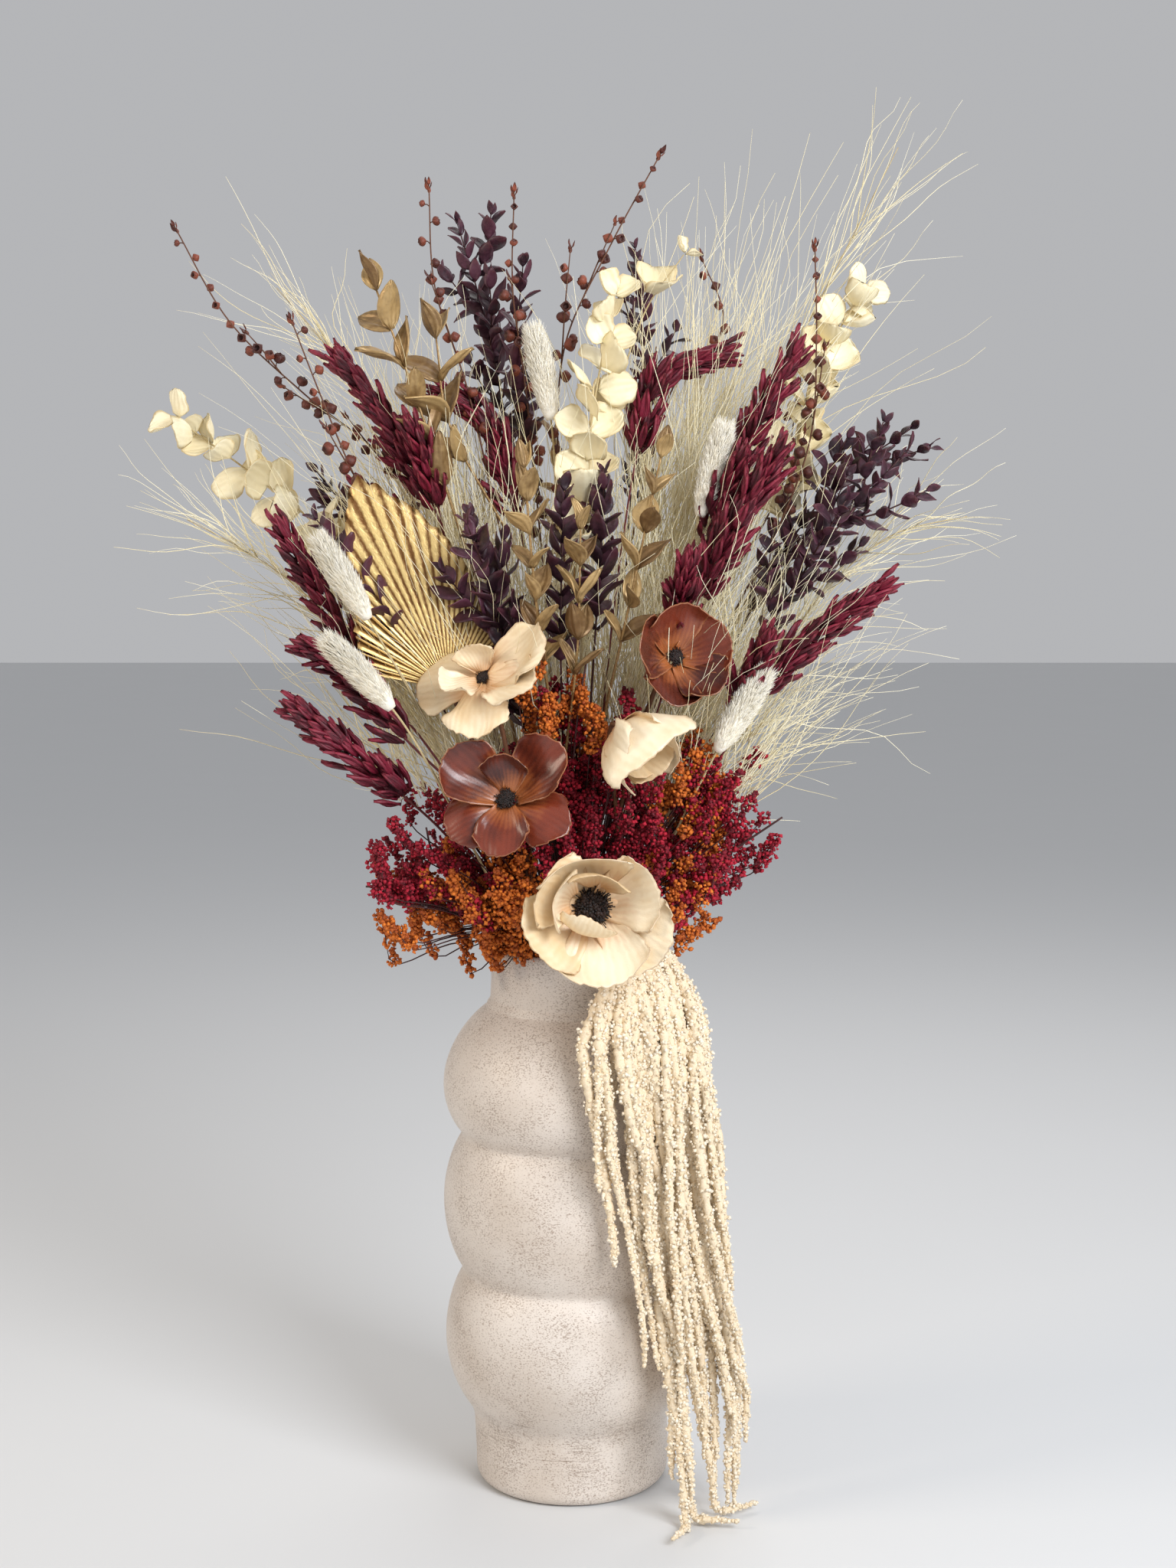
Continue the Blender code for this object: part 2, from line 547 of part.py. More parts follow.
def tail_rings(start_aside, degrees, tip_degrees, tip_out, tip_height):
    """Elliptical rings down one hanging tail: from the stalk, out over the lobe, then down and outward."""
    outward = outward_at(degrees)
    sideways = Vector((-outward.y, outward.x, 0))
    hang = WIDEST_RADIUS + TAIL_GAP + TAIL_HALF_DEPTH
    aside = sideways * start_aside
    start = stalk_end() + outward_at(TAIL_AZIMUTH) * TAIL_START_GAP + aside
    shoulder = outward * (hang - TAIL_SHOULDER_IN) + Vector((0, 0, RIM_Z - NECK_HEIGHT * 0.55))
    wide = outward * hang + Vector((0, 0, RIM_Z - NECK_HEIGHT - UPPER_LOBE * 0.5))
    tip = outward_at(tip_degrees) * (hang + tip_out) + Vector((0, 0, tip_height * RIM_Z))
    halfway_degrees = degrees + (tip_degrees - degrees) * TAIL_HALFWAY_TURN
    halfway = outward_at(halfway_degrees) * (hang + tip_out * TAIL_HALFWAY_TURN)
    halfway.z = (wide.z + tip.z) / 2
    spine = smooth_route([start, shoulder, wide, halfway, tip], TAIL_RINGS)
    rings = []
    for i, at in enumerate(spine):
        share = i / (len(spine) - 1)
        girth = min(1.0, 0.20 + share * 4.0) * (1.0 - 0.70 * share ** 3)
        deep = outward if share > 0.12 else outward.lerp(Vector((0, 0, 1)), 0.6).normalized()
        flat = TAIL_HALF_DEPTH * min(1.0, 0.35 + share * 4.0) * (1.0 - 0.6 * share ** 4)
        rings.append([at + deep * math.sin(a) * flat + sideways * math.cos(a) * TAIL_HALF_WIDTH * girth
                      for a in (math.tau * j / TAIL_SIDES for j in range(TAIL_SIDES))])
    return rings


def make_tail(name, spec, group, material):
    bm = bmesh.new()
    rings = [[bm.verts.new(p) for p in ring] for ring in tail_rings(*spec)]
    for upper, lower in zip(rings, rings[1:]):
        for j in range(TAIL_SIDES):
            k = (j + 1) % TAIL_SIDES
            bm.faces.new((upper[j], upper[k], lower[k], lower[j]))
    bm.faces.new(rings[0][::-1])
    bm.faces.new(rings[-1])
    add_object(name, mesh_from(name, bm), group, material)


def main():
    clear_scene()
    materials = make_materials()
    group = collection("dried_flower_arrangement")
    cutters = collection("cutters")
    make_vase(group, materials["stoneware"])
    make_plug(group, cutters, materials["dry_foam"])
    for name, (kind, bends) in STEMS.items():
        make_stem(name, kind, bends, group, cutters, materials)
    for name, spec in FLOWERS.items():
        make_flower(name, spec, group, cutters, materials)
    make_spear(group, cutters, materials)
    make_stalk(group, cutters, materials)
    for name, spec in TAILS.items():
        make_tail(name, spec, group, materials["cream_amaranth"])


main()
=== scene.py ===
"""Looks of a dried flower arrangement in a three-lobed stoneware vase.

Laid out as a Blender add-on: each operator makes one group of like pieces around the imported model,
each property group holds the sizes and colours of that group, and the panel lists them all.
Metres, +Z up, the front of the arrangement faces -Y.
"""

import json
import math

import bpy
import numpy as np
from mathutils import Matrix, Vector


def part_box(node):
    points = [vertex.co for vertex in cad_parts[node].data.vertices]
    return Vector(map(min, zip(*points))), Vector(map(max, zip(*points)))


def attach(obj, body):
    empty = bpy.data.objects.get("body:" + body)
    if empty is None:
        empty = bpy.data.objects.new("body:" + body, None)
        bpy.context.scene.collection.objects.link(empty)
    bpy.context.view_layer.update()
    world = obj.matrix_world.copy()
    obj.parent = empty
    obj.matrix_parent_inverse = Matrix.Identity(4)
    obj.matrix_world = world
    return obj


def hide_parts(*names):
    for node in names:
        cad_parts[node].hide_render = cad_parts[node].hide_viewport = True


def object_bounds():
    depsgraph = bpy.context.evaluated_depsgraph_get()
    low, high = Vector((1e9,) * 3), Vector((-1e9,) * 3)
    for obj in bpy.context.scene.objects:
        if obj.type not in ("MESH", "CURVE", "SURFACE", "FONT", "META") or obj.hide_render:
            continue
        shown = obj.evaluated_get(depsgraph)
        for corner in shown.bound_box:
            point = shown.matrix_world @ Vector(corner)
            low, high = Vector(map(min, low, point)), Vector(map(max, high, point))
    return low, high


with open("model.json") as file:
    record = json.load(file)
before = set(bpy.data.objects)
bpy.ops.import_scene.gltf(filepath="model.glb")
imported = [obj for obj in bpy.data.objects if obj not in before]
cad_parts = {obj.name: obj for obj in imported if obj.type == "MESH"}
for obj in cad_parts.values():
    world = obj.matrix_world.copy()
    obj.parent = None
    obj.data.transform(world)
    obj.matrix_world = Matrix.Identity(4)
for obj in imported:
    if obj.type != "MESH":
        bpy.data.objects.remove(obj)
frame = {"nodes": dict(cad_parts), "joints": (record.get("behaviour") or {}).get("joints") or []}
CAD_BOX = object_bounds()

bl_info = {
    "name": "Dried Flower Arrangement",
    "version": (1, 0, 0),
    "blender": (4, 5, 0),
    "location": "View3D > Sidebar > Arrangement",
    "description": "Makes the visible pieces of a dried flower arrangement in a stoneware vase",
    "category": "Object",
}

GOLDEN_TURN = math.pi * (3 - math.sqrt(5))
HINGE = next(joint for joint in frame["joints"] if joint["name"] == "amaranth_swing")
HINGE_PIVOT = np.array(HINGE["pos_m"])
FULL_SWING = math.radians(HINGE["range_deg"][1])
TAIL_SIDES = 8
STALK_FINISH = 0
HEAD_FINISH = 1

VASE_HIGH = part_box("vase")[1]
PLUG_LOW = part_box("foam_plug")[0]
RIM_Z = VASE_HIGH.z
NECK_CENTRE = np.array((0.0, 0.0, PLUG_LOW.z + 0.010))

# The room that soft growth may take up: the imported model's box, and a little round it.
ROOM_LOW = np.array(CAD_BOX[0]) - (0.018, 0.013, 0.0)
ROOM_HIGH = np.array(CAD_BOX[1]) + (0.018, 0.013, 0.026)


def nodes_named(*starts):
    """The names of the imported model's nodes that start with any of these words."""
    return sorted(name for name in frame["nodes"] if name.startswith(starts))


def pigment(red, green, blue):
    """A colour given as it shows on a screen, 0 to 255, as the linear values that a shader takes."""
    return tuple(
        share / 12.92 if share <= 0.04045 else ((share + 0.055) / 1.055) ** 2.4
        for share in (red / 255, green / 255, blue / 255)
    )


# ---- arrays of points ----


def unit(vectors):
    length = np.linalg.norm(vectors, axis=-1, keepdims=True)
    return vectors / np.maximum(length, 1e-12)


def square_to(directions, wanted):
    """The part of the wanted vectors that stands square to the directions, one unit long."""
    along = np.sum(directions * wanted, axis=-1, keepdims=True)
    return unit(wanted - directions * along)


def smooth_line(points, steps):
    """Points on a smooth curve through the given ones, a number of steps for each stretch."""
    points = np.asarray(points, float)
    padded = np.vstack((points[0] * 2 - points[1], points, points[-1] * 2 - points[-2]))
    share = np.arange(steps)[:, None] / steps
    made = []
    for a, b, c, d in zip(padded, padded[1:], padded[2:], padded[3:]):
        curve = b + (c - a) * share / 2 + (a * 2 - b * 5 + c * 4 - d) * share**2 / 2
        made.append(curve + (b * 3 - a - c * 3 + d) * share**3 / 2)
    return np.vstack((*made, points[-1:]))


class Route:
    """A smooth line that is read by the distance from its start."""

    def __init__(self, through, steps=14):
        self.points = smooth_line(through, steps)
        stretches = np.linalg.norm(np.diff(self.points, axis=0), axis=1)
        self.reach = np.concatenate(((0.0,), np.cumsum(stretches)))
        self.length = self.reach[-1]
        overall = unit(self.points[-1] - self.points[0])
        self.aside = square_to(overall, np.array((0.0, 1.0, 0.0)))

    def at(self, distance):
        columns = [np.interp(distance, self.reach, self.points[:, axis]) for axis in range(3)]
        return np.stack(columns, axis=-1)

    def heading(self, distance, gap=0.003):
        ahead = np.minimum(np.asarray(distance) + gap, self.length)
        behind = np.maximum(np.asarray(distance) - gap, 0.0)
        return unit(self.at(ahead) - self.at(behind))

    def outward(self, distance, turn):
        """A unit vector that stands square to the line, turned about it."""
        heading = self.heading(distance)
        first = square_to(heading, np.broadcast_to(self.aside, heading.shape))
        second = np.cross(heading, first)
        turn = np.asarray(turn)[..., None]
        return first * np.cos(turn) + second * np.sin(turn)

    def spread(self, start, gap):
        """Distances from a start to the end of the line, about one gap apart."""
        count = max(int(round((self.length - start) / gap)), 2)
        return np.linspace(start, self.length, count)


def rings_of(node, sides, near):
    """The rings of points that a packed tube is made of, in order from the end that is near a point."""
    mesh = frame["nodes"][node].data
    raw = np.zeros(len(mesh.vertices) * 3, np.float32)
    mesh.vertices.foreach_get("co", raw)
    raw = raw.reshape(-1, 3).astype(float)
    _, first, index = np.unique(np.round(raw * 2e5).astype(np.int64), axis=0, return_index=True,
                                return_inverse=True)
    points = raw[first]
    index = index.reshape(-1)
    beside = [set() for _ in points]
    for face in mesh.polygons:
        corners = [index[v] for v in face.vertices]
        for a in corners:
            beside[a].update(corners)
    order = np.argsort(np.linalg.norm(points - np.asarray(near), axis=1))
    ring = {int(i) for i in order[:sides]}
    seen = set(ring)
    rings = []
    while ring:
        rings.append(points[sorted(ring)])
        ring = set().union(*(beside[i] for i in ring)) - seen
        seen |= ring
    return rings


def stem_route(node, sides=4, drop_last=0):
    """The centre line of a packed stem, from its foot in the foam to its tip."""
    rings = rings_of(node, sides, NECK_CENTRE)
    centres = [ring.mean(axis=0) for ring in rings]
    if drop_last:
        centres = centres[:-drop_last]
    return Route(centres)


# ---- small shapes and the meshes made of their copies ----


class Shape:
    """A small closed shape: its points, its faces, and where each point lies along and across it."""

    def __init__(self, points, corners, sizes, along, across):
        self.points = points
        self.corners = corners
        self.sizes = sizes
        self.along = along
        self.across = across


def above_rim(points):
    """Points whose heights are given from the vase's rim, as points of the arrangement."""
    return np.array(points) + (0.0, 0.0, RIM_Z)


def deselect_all():
    bpy.ops.object.select_all(action="DESELECT")


def read_points(mesh):
    flat = np.zeros(len(mesh.vertices) * 3)
    mesh.vertices.foreach_get("co", flat)
    return flat.reshape(-1, 3)


def write_points(mesh, points):
    mesh.vertices.foreach_set("co", np.asarray(points, np.float32).ravel())
    mesh.update()


def write_numbers(mesh, name, values):
    layer = mesh.attributes.get(name) or mesh.attributes.new(name, "FLOAT", "POINT")
    layer.data.foreach_set("value", np.asarray(values, np.float32))


def read_numbers(mesh, name):
    values = np.zeros(len(mesh.vertices), np.float32)
    mesh.attributes[name].data.foreach_get("value", values)
    return values.astype(float)


def taken(thing):
    """Reads a finished object as a shape, and removes the object."""
    mesh = thing.data
    corners = np.zeros(len(mesh.loops), np.int64)
    mesh.loops.foreach_get("vertex_index", corners)
    sizes = np.zeros(len(mesh.polygons), np.int64)
    mesh.polygons.foreach_get("loop_total", sizes)
    shape = Shape(read_points(mesh), corners, sizes, read_numbers(mesh, "along"),
                  read_numbers(mesh, "across"))
    bpy.data.objects.remove(thing)
    bpy.data.meshes.remove(mesh)
    return shape


def thin_leaf(long, wide, bend, thickness):
    """A thin closed leaf, made from a grid. The function bend takes where a point lies along the leaf,
    0 to 1, and across it, -1 to 1, and gives its place."""
    deselect_all()
    bpy.ops.mesh.primitive_grid_add(x_subdivisions=wide, y_subdivisions=long, size=2)
    blade = bpy.context.object
    flat = read_points(blade.data)
    along = (flat[:, 1] + 1) / 2
    across = flat[:, 0]
    write_points(blade.data, bend(along, across))
    write_numbers(blade.data, "along", along)
    write_numbers(blade.data, "across", across)
    wall = blade.modifiers.new("thickness", "SOLIDIFY")
    wall.thickness = thickness
    wall.offset = 0.0
    bpy.ops.object.modifier_apply(modifier=wall.name)
    return taken(blade)


def small_ball(rings, segments, form):
    """A small closed ball, 2 across, changed by a function of its points."""
    deselect_all()
    bpy.ops.mesh.primitive_uv_sphere_add(segments=segments, ring_count=rings, radius=1.0)
    ball = bpy.context.object
    points = read_points(ball.data)
    write_numbers(ball.data, "along", (points[:, 2] + 1) / 2)
    write_numbers(ball.data, "across", points[:, 0])
    write_points(ball.data, form(points))
    return taken(ball)


def small_crumb(form):
    """A faceted closed crumb, about 2 across."""
    deselect_all()
    bpy.ops.mesh.primitive_cube_add(size=1.3)
    crumb = bpy.context.object
    points = read_points(crumb.data)
    write_numbers(crumb.data, "along", (points[:, 2] + 1) / 2)
    write_numbers(crumb.data, "across", points[:, 0])
    write_points(crumb.data, form(points))
    return taken(crumb)


def standing(at, along, face, size):
    """Places for copies of a shape: its Y runs along a direction, its Z looks as near to face as it can."""
    count = len(at)
    along = unit(np.broadcast_to(along, (count, 3)))
    face = square_to(along, np.broadcast_to(face, (count, 3)))
    size = np.asarray(size, float)
    if size.ndim < 2:
        size = np.broadcast_to(size.reshape(-1, 1), (count, 3))
    places = np.zeros((count, 4, 3))
    places[:, 0] = np.cross(along, face) * size[:, :1]
    places[:, 1] = along * size[:, 1:2]
    places[:, 2] = face * size[:, 2:3]
    places[:, 3] = at
    return places


def rods(paths, radii, sides):
    """Closed rods along many paths at once: paths has a row of points for each rod."""
    paths = np.asarray(paths, float)
    count, steps, _ = paths.shape
    radii = np.broadcast_to(radii, (count, steps))
    ahead = np.concatenate((paths[:, 1:], paths[:, -1:]), axis=1)
    behind = np.concatenate((paths[:, :1], paths[:, :-1]), axis=1)
    heading = unit(ahead - behind)
    overall = unit(paths[:, -1:] - paths[:, :1])
    helper = np.where(np.abs(overall[..., 2:]) < 0.8, (0.0, 0.0, 1.0), (0.0, 1.0, 0.0))
    first = square_to(heading, np.broadcast_to(helper, heading.shape))
    second = np.cross(heading, first)
    turn = np.arange(sides) * math.tau / sides
    around = first[:, :, None] * np.cos(turn)[:, None] + second[:, :, None] * np.sin(turn)[:, None]
    points = paths[:, :, None] + around * radii[:, :, None, None]
    row = np.arange(steps - 1)[:, None] * sides
    left = np.arange(sides)
    right = (left + 1) % sides
    walls = np.stack((row + left, row + right, row + sides + right, row + sides + left),
                     axis=-1).reshape(-1)
    foot = left[::-1]
    top = (steps - 1) * sides + left
    corners = np.concatenate((walls, foot, top))
    sizes = np.concatenate((np.full((steps - 1) * sides, 4), (sides, sides)))
    offsets = np.arange(count)[:, None] * (steps * sides)
    share = np.repeat(np.linspace(0, 1, steps), sides)
    return Shape(points.reshape(-1, 3), (corners + offsets).reshape(-1), np.tile(sizes, count),
                 np.tile(share, count), np.zeros(count * steps * sides))


class Cluster:
    """Many closed shapes that are gathered into one mesh."""

    def __init__(self):
        self.parts = []
        self.count = 0

    def add(self, shape, tone, finish):
        tone = np.broadcast_to(tone, (len(shape.points),))
        marks = np.full(len(shape.sizes), finish)
        self.parts.append((shape.points, shape.corners + self.count, shape.sizes, shape.along, shape.across,
                           tone, marks))
        self.count += len(shape.points)

    def place(self, shape, places, tone, finish=HEAD_FINISH):
        """Adds a copy of the shape at each place, each with its own tone."""
        copies = len(places)
        if copies == 0:
            return
        points = np.einsum("pi,cij->cpj", shape.points, places[:, :3]) + places[:, None, 3]
        fits = np.all((points > ROOM_LOW) & (points < ROOM_HIGH), axis=(1, 2))
        tone = np.broadcast_to(tone, (copies,))[fits]
        points = points[fits]
        copies = len(points)
        each = len(shape.points)
        corners = shape.corners[None] + np.arange(copies)[:, None] * each
        tone = np.repeat(np.broadcast_to(tone, (copies,)), each)
        whole = Shape(points.reshape(-1, 3), corners.reshape(-1), np.tile(shape.sizes, copies),
                      np.tile(shape.along, copies), np.tile(shape.across, copies))
        self.add(whole, tone, finish)

    def rods(self, paths, radii, sides, tone, finish=STALK_FINISH):
        """Adds a rod along each path, each with its own tone."""
        made = rods(paths, radii, sides)
        each = len(made.points) // len(paths)
        self.add(made, np.repeat(np.broadcast_to(tone, (len(paths),)), each), finish)

    def stalk(self, route, thick, thin, gap=0.004, sides=6):
        """Adds one tapering stalk along a route."""
        distance = route.spread(0.0, gap)
        radii = np.linspace(thick, thin, len(distance))
        self.rods(route.at(distance)[None], radii[None], sides, 0.5)

    def build(self, name, finishes):
        """Makes the mesh object, at the origin, with the finishes in order."""
        points, corners, sizes, along, across, tone, marks = (np.concatenate(c) for c in zip(*self.parts))
        mesh = bpy.data.meshes.new(name)
        mesh.vertices.add(len(points))
        mesh.vertices.foreach_set("co", points.astype(np.float32).ravel())
        mesh.loops.add(len(corners))
        mesh.loops.foreach_set("vertex_index", corners.astype(np.int32))
        mesh.polygons.add(len(sizes))
        starts = np.concatenate(((0,), np.cumsum(sizes)[:-1]))
        mesh.polygons.foreach_set("loop_start", starts.astype(np.int32))
        mesh.polygons.foreach_set("material_index", marks.astype(np.int32))
        mesh.polygons.foreach_set("use_smooth", np.ones(len(sizes), bool))
        mesh.update(calc_edges=True)
        for label, values in (("along", along), ("across", across), ("tone", tone)):
            write_numbers(mesh, label, values)
        for finish in finishes:
            mesh.materials.append(finish)
        thing = bpy.data.objects.new(name, mesh)
        bpy.context.scene.collection.objects.link(thing)
        return thing


def settle(piece, body, slot, *nodes):
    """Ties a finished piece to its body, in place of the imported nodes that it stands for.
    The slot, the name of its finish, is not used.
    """
    if len(piece.data.polygons) == 0:
        raise RuntimeError(f"{piece.name} has no faces")
    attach(piece, body)
    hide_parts(*nodes)


# ---- finishes ----


class Field:
    """A socket of a finish that Python's operators can combine."""

    def __init__(self, finish, socket):
        self.finish = finish
        self.socket = socket

    def _math(self, operation, first, second=0.0, third=0.0):
        return self.finish.node("ShaderNodeMath", {"operation": operation}, {0: first, 1: second, 2: third})

    def __add__(self, other):
        return self._math("ADD", self, other)

    def __sub__(self, other):
        return self._math("SUBTRACT", self, other)

    def __mul__(self, other):
        return self._math("MULTIPLY", self, other)

    def __rsub__(self, other):
        return self._math("SUBTRACT", other, self)

    __radd__ = __add__
    __rmul__ = __mul__

    def size(self):
        return self._math("ABSOLUTE", self)

    def wave(self):
        return self._math("SINE", self)

    def larger(self, other):
        return self._math("MAXIMUM", self, other)

    def step(self, low, high):
        """0 below low, 1 above high, and smooth in between."""
        settings = {"interpolation_type": "SMOOTHSTEP", "clamp": True}
        return self.finish.node("ShaderNodeMapRange", settings, {0: self, 1: low, 2: high, 3: 0.0, 4: 1.0})


class Finish:
    """A material that is being made: its shader, and the nodes that feed it."""

    def __init__(self, name, **constants):
        self.material = bpy.data.materials.new(name + "_finish")
        self.material.use_nodes = True
        self.tree = self.material.node_tree
        self.shader = next(n for n in self.tree.nodes if n.type == "BSDF_PRINCIPLED")
        for label, value in constants.items():
            self.shader.inputs[label.replace("_", " ").title()].default_value = value

    def node(self, kind, settings=None, inputs=None, output=0):
        """Adds a node, sets its settings, then sets or links its sockets, and gives one of its outputs."""
        made = self.tree.nodes.new(kind)
        for label, value in (settings or {}).items():
            setattr(made, label, value)
        for key, value in (inputs or {}).items():
            if isinstance(value, Field):
                self.tree.links.new(value.socket, made.inputs[key])
            else:
                made.inputs[key].default_value = value
        return Field(self, made.outputs[output])

    def place(self, *stretch):
        """The place on the piece, stretched by a factor for each axis."""
        spot = self.node("ShaderNodeTexCoord", output=3)
        if not stretch:
            return spot
        return self.node("ShaderNodeMapping", {}, {0: spot, 3: stretch})

    def mark(self, name):
        return self.node("ShaderNodeAttribute", {"attribute_name": name}, output=2)

    def noise(self, scale, detail=2.0, roughness=0.5, stretch=()):
        spot = self.place(*stretch)
        inputs = {"Vector": spot, "Scale": scale, "Detail": detail, "Roughness": roughness}
        return self.node("ShaderNodeTexNoise", {}, inputs)

    def height(self):
        return self.node("ShaderNodeSeparateXYZ", {}, {0: self.place()}, 2)

    def mix(self, share, first, second):
        """One colour where share is 0, the other where it is 1."""
        colours = {0: share, 6: self.colour(first), 7: self.colour(second)}
        return self.node("ShaderNodeMix", {"data_type": "RGBA"}, colours, 2)

    @staticmethod
    def colour(value):
        return value if isinstance(value, Field) else (*tuple(value)[:3], 1.0)

    def feed(self, label, value):
        self.tree.links.new(value.socket, self.shader.inputs[label])

    def bump(self, height, distance):
        made = self.node("ShaderNodeBump", {}, {"Strength": 1.0, "Distance": distance, "Height": height})
        self.feed("Normal", made)

    def done(self):
        return self.material


def plant_finish(name, light, dark, roughness=0.6, fine=900.0, tip=None, edge=None, ribs=0.0,
                 bump=0.00025, **more):
    """Dried plant skin: two colours that change from copy to copy and in fine blotches, with a tip colour,
    a rim colour and ribs where it has them. Each copy's tone picks between the two colours; on the sprigs
    and the amaranth the tone is lower deep in a spike or strand, as painted shade."""
    made = Finish(name, roughness=roughness, **more)
    tone = made.mark("tone")
    grain = made.noise(fine, 3.0)
    share = (tone * 0.75 + grain * 0.9 - 0.35).step(0.0, 1.0)
    colour = made.mix(share, dark, light)
    along = made.mark("along")
    across = made.mark("across")
    if tip is not None:
        colour = made.mix((along + (grain - 0.5) * 0.3).step(0.55, 1.0) * 0.8, colour, tip)
    if edge is not None:
        rim = (across.size() + (grain - 0.5) * 0.12).step(0.86, 0.99)
        colour = made.mix(rim.larger((along + (grain - 0.5) * 0.05).step(0.96, 1.0)), colour, edge)
    made.feed("Base Color", colour)
    relief = grain
    if ribs:
        relief = (across * ribs + grain * 1.5).wave() * 0.5 + grain * 0.5
    made.feed("Roughness", (grain - 0.5) * 0.3 + roughness)
    made.bump(relief, bump)
    return made.done()


# ---- prototypes ----


def round_leaf(cup, fold, seed):
    """A round eucalyptus leaf, cupped and folded a little along its midrib, with a wavy rim."""
    wave = np.random.default_rng(seed).uniform(0, 6, 3)

    def bend(along, across):
        width = np.clip(1 - np.abs(along * 2 - 1.04) ** 2.3, 0.01, 1) ** 0.5
        width = width * (1 + 0.04 * np.sin(along * 9 + wave[0]) + 0.02 * np.sin(along * 23 + wave[1]))
        x = across * width * 0.52
        y = along - 0.10 * across**2 * (along - 0.5)
        rise = cup * (x**2 * 3 + (along - 0.45) ** 2 * 1.2) + fold * np.abs(x)
        ripple = 0.035 * np.sin(across * 4 + along * 7 + wave[2]) * (0.3 + across**2)
        return np.stack((x, y, rise + ripple), axis=-1)

    return thin_leaf(9, 8, bend, 0.025)


def pointed_leaf(width, widest, fold, curl, long=6, wide=4, thickness=0.03):
    """A pointed leaf: its width as a share of its length, where it is widest, and its fold and curl."""

    def bend(along, across):
        power = math.log(0.5) / math.log(widest)
        outline = np.sin(math.pi * np.clip(along, 0.015, 0.985) ** power) ** 0.8
        x = across * outline * width / 2
        rise = fold * np.abs(x) - curl * along**2 + 0.03 * np.sin(along * 7 + across * 2)
        return np.stack((x, along, rise), axis=-1)

    return thin_leaf(long, wide, bend, thickness)


def seed_capsule():
    """An angular seed capsule with four swollen lobes and an open, hollow mouth, along +Y."""

    def form(points):
        turn = np.arctan2(points[:, 0], points[:, 1])
        level = points[:, 2]
        swell = 1 + 0.16 * np.cos(turn * 4) * (1 - level**2)
        mouth = np.clip((level - 0.55) / 0.45, 0, 1)
        wide = np.hypot(points[:, 0], points[:, 1]) * swell
        wide = np.where(level > 0.55, 0.45 + 0.38 * (1 - mouth), wide)
        wide = np.where(level > 0.99, 0.0, wide)
        rise = np.where(level > 0.55, 1.05 - 1.25 * mouth**2 + 0.2 * np.cos(turn * 4) * (1 - mouth), level)
        return np.stack((np.sin(turn) * wide, rise + 1, np.cos(turn) * wide), axis=-1)

    return small_ball(9, 12, form)


def rough_crumb(seed, roughness):
    """A crumb with its corners moved a little, seeded."""
    random = np.random.default_rng(seed)

    def form(points):
        return points * (1 + random.uniform(-roughness, roughness, (len(points), 1)))

    return small_crumb(form)


# ---- stems that carry heads ----


def planted(named, seed, thick, thin):
    """Each packed stem of a kind: its place in their order, its name, its random draws, its route and a
    cluster that holds its stalk."""
    for order, node in enumerate(nodes_named(named)):
        route = stem_route(node)
        cluster = Cluster()
        cluster.stalk(route, thick, thin)
        yield order, node, np.random.default_rng(seed + order), route, cluster


def further_stem(cluster, through, thick, thin):
    """A stalk that rises inside the arrangement, through points with heights above the rim."""
    twig = Route(above_rim(through), 8)
    cluster.stalk(twig, thick, thin)
    return twig


def place_mixed(cluster, shapes, places, random):
    """Sets one of the shapes, at random, in each place."""
    pick = random.integers(0, len(shapes), len(places))
    for which, shape in enumerate(shapes):
        chosen = places[pick == which]
        cluster.place(shape, chosen, random.uniform(0, 1, len(chosen)))


def add_capsules(cluster, route, shape, look, beaded, random):
    """Seed capsules that stand off a thin stem on short stalks, from side to side, smaller to the tip."""
    distance = route.spread(route.length - beaded, look.capsule_gap)[:-1]
    distance = distance + random.uniform(-0.0018, 0.0018, len(distance))
    count = len(distance)
    turn = np.arange(count) * math.pi * 0.93 + random.uniform(-0.5, 0.5, count) + random.uniform(0, 6)
    out = route.outward(distance, turn)
    heading = route.heading(distance)
    lean = unit(out + heading * random.uniform(0.3, 0.8, (count, 1)))
    left = (route.length - distance) / beaded
    size = look.capsule_radius * (0.62 + 0.45 * np.clip(left * 2.2, 0, 1)) * random.uniform(0.85, 1.12,
                                                                                            count)
    foot = route.at(distance)
    reach = random.uniform(0.0020, 0.0042, (count, 1))
    top = foot + lean * reach
    middle = foot + (heading * 0.4 + lean) * reach * 0.45
    cluster.rods(np.stack((foot, middle, top), axis=1), 0.00035, 4, random.uniform(0.2, 0.6, count))
    facing = unit(lean + random.normal(0, 0.25, (count, 3)))
    places = standing(top - facing * size[:, None] * 0.25, facing, heading, size)
    cluster.place(shape, places, random.uniform(0, 1, count))


def add_buds(cluster, route, leaf, count, size, random):
    """A few narrow buds at the very tip."""
    distance = np.linspace(route.length - size * 0.8, route.length, count)
    out = route.outward(distance, np.arange(count) * GOLDEN_TURN)
    along = unit(route.heading(distance) + out * 0.55)
    size = size * random.uniform(0.7, 1.1, count)
    cluster.place(leaf, standing(route.at(distance), along, out, size), random.uniform(0, 1, count))


def side_twig(route, distance, turn, spread, length, sag=0.0, steps=3):
    """A short smooth twig that leaves a stem at an angle."""
    start = route.at(distance)
    heading = route.heading(distance)
    out = route.outward(distance, turn)
    first = unit(heading + out * spread)
    middle = start + first * length * 0.5
    end = middle + unit(first + heading * 0.5 - np.array((0, 0, sag))) * length * 0.5
    return Route((start, middle, end), steps)


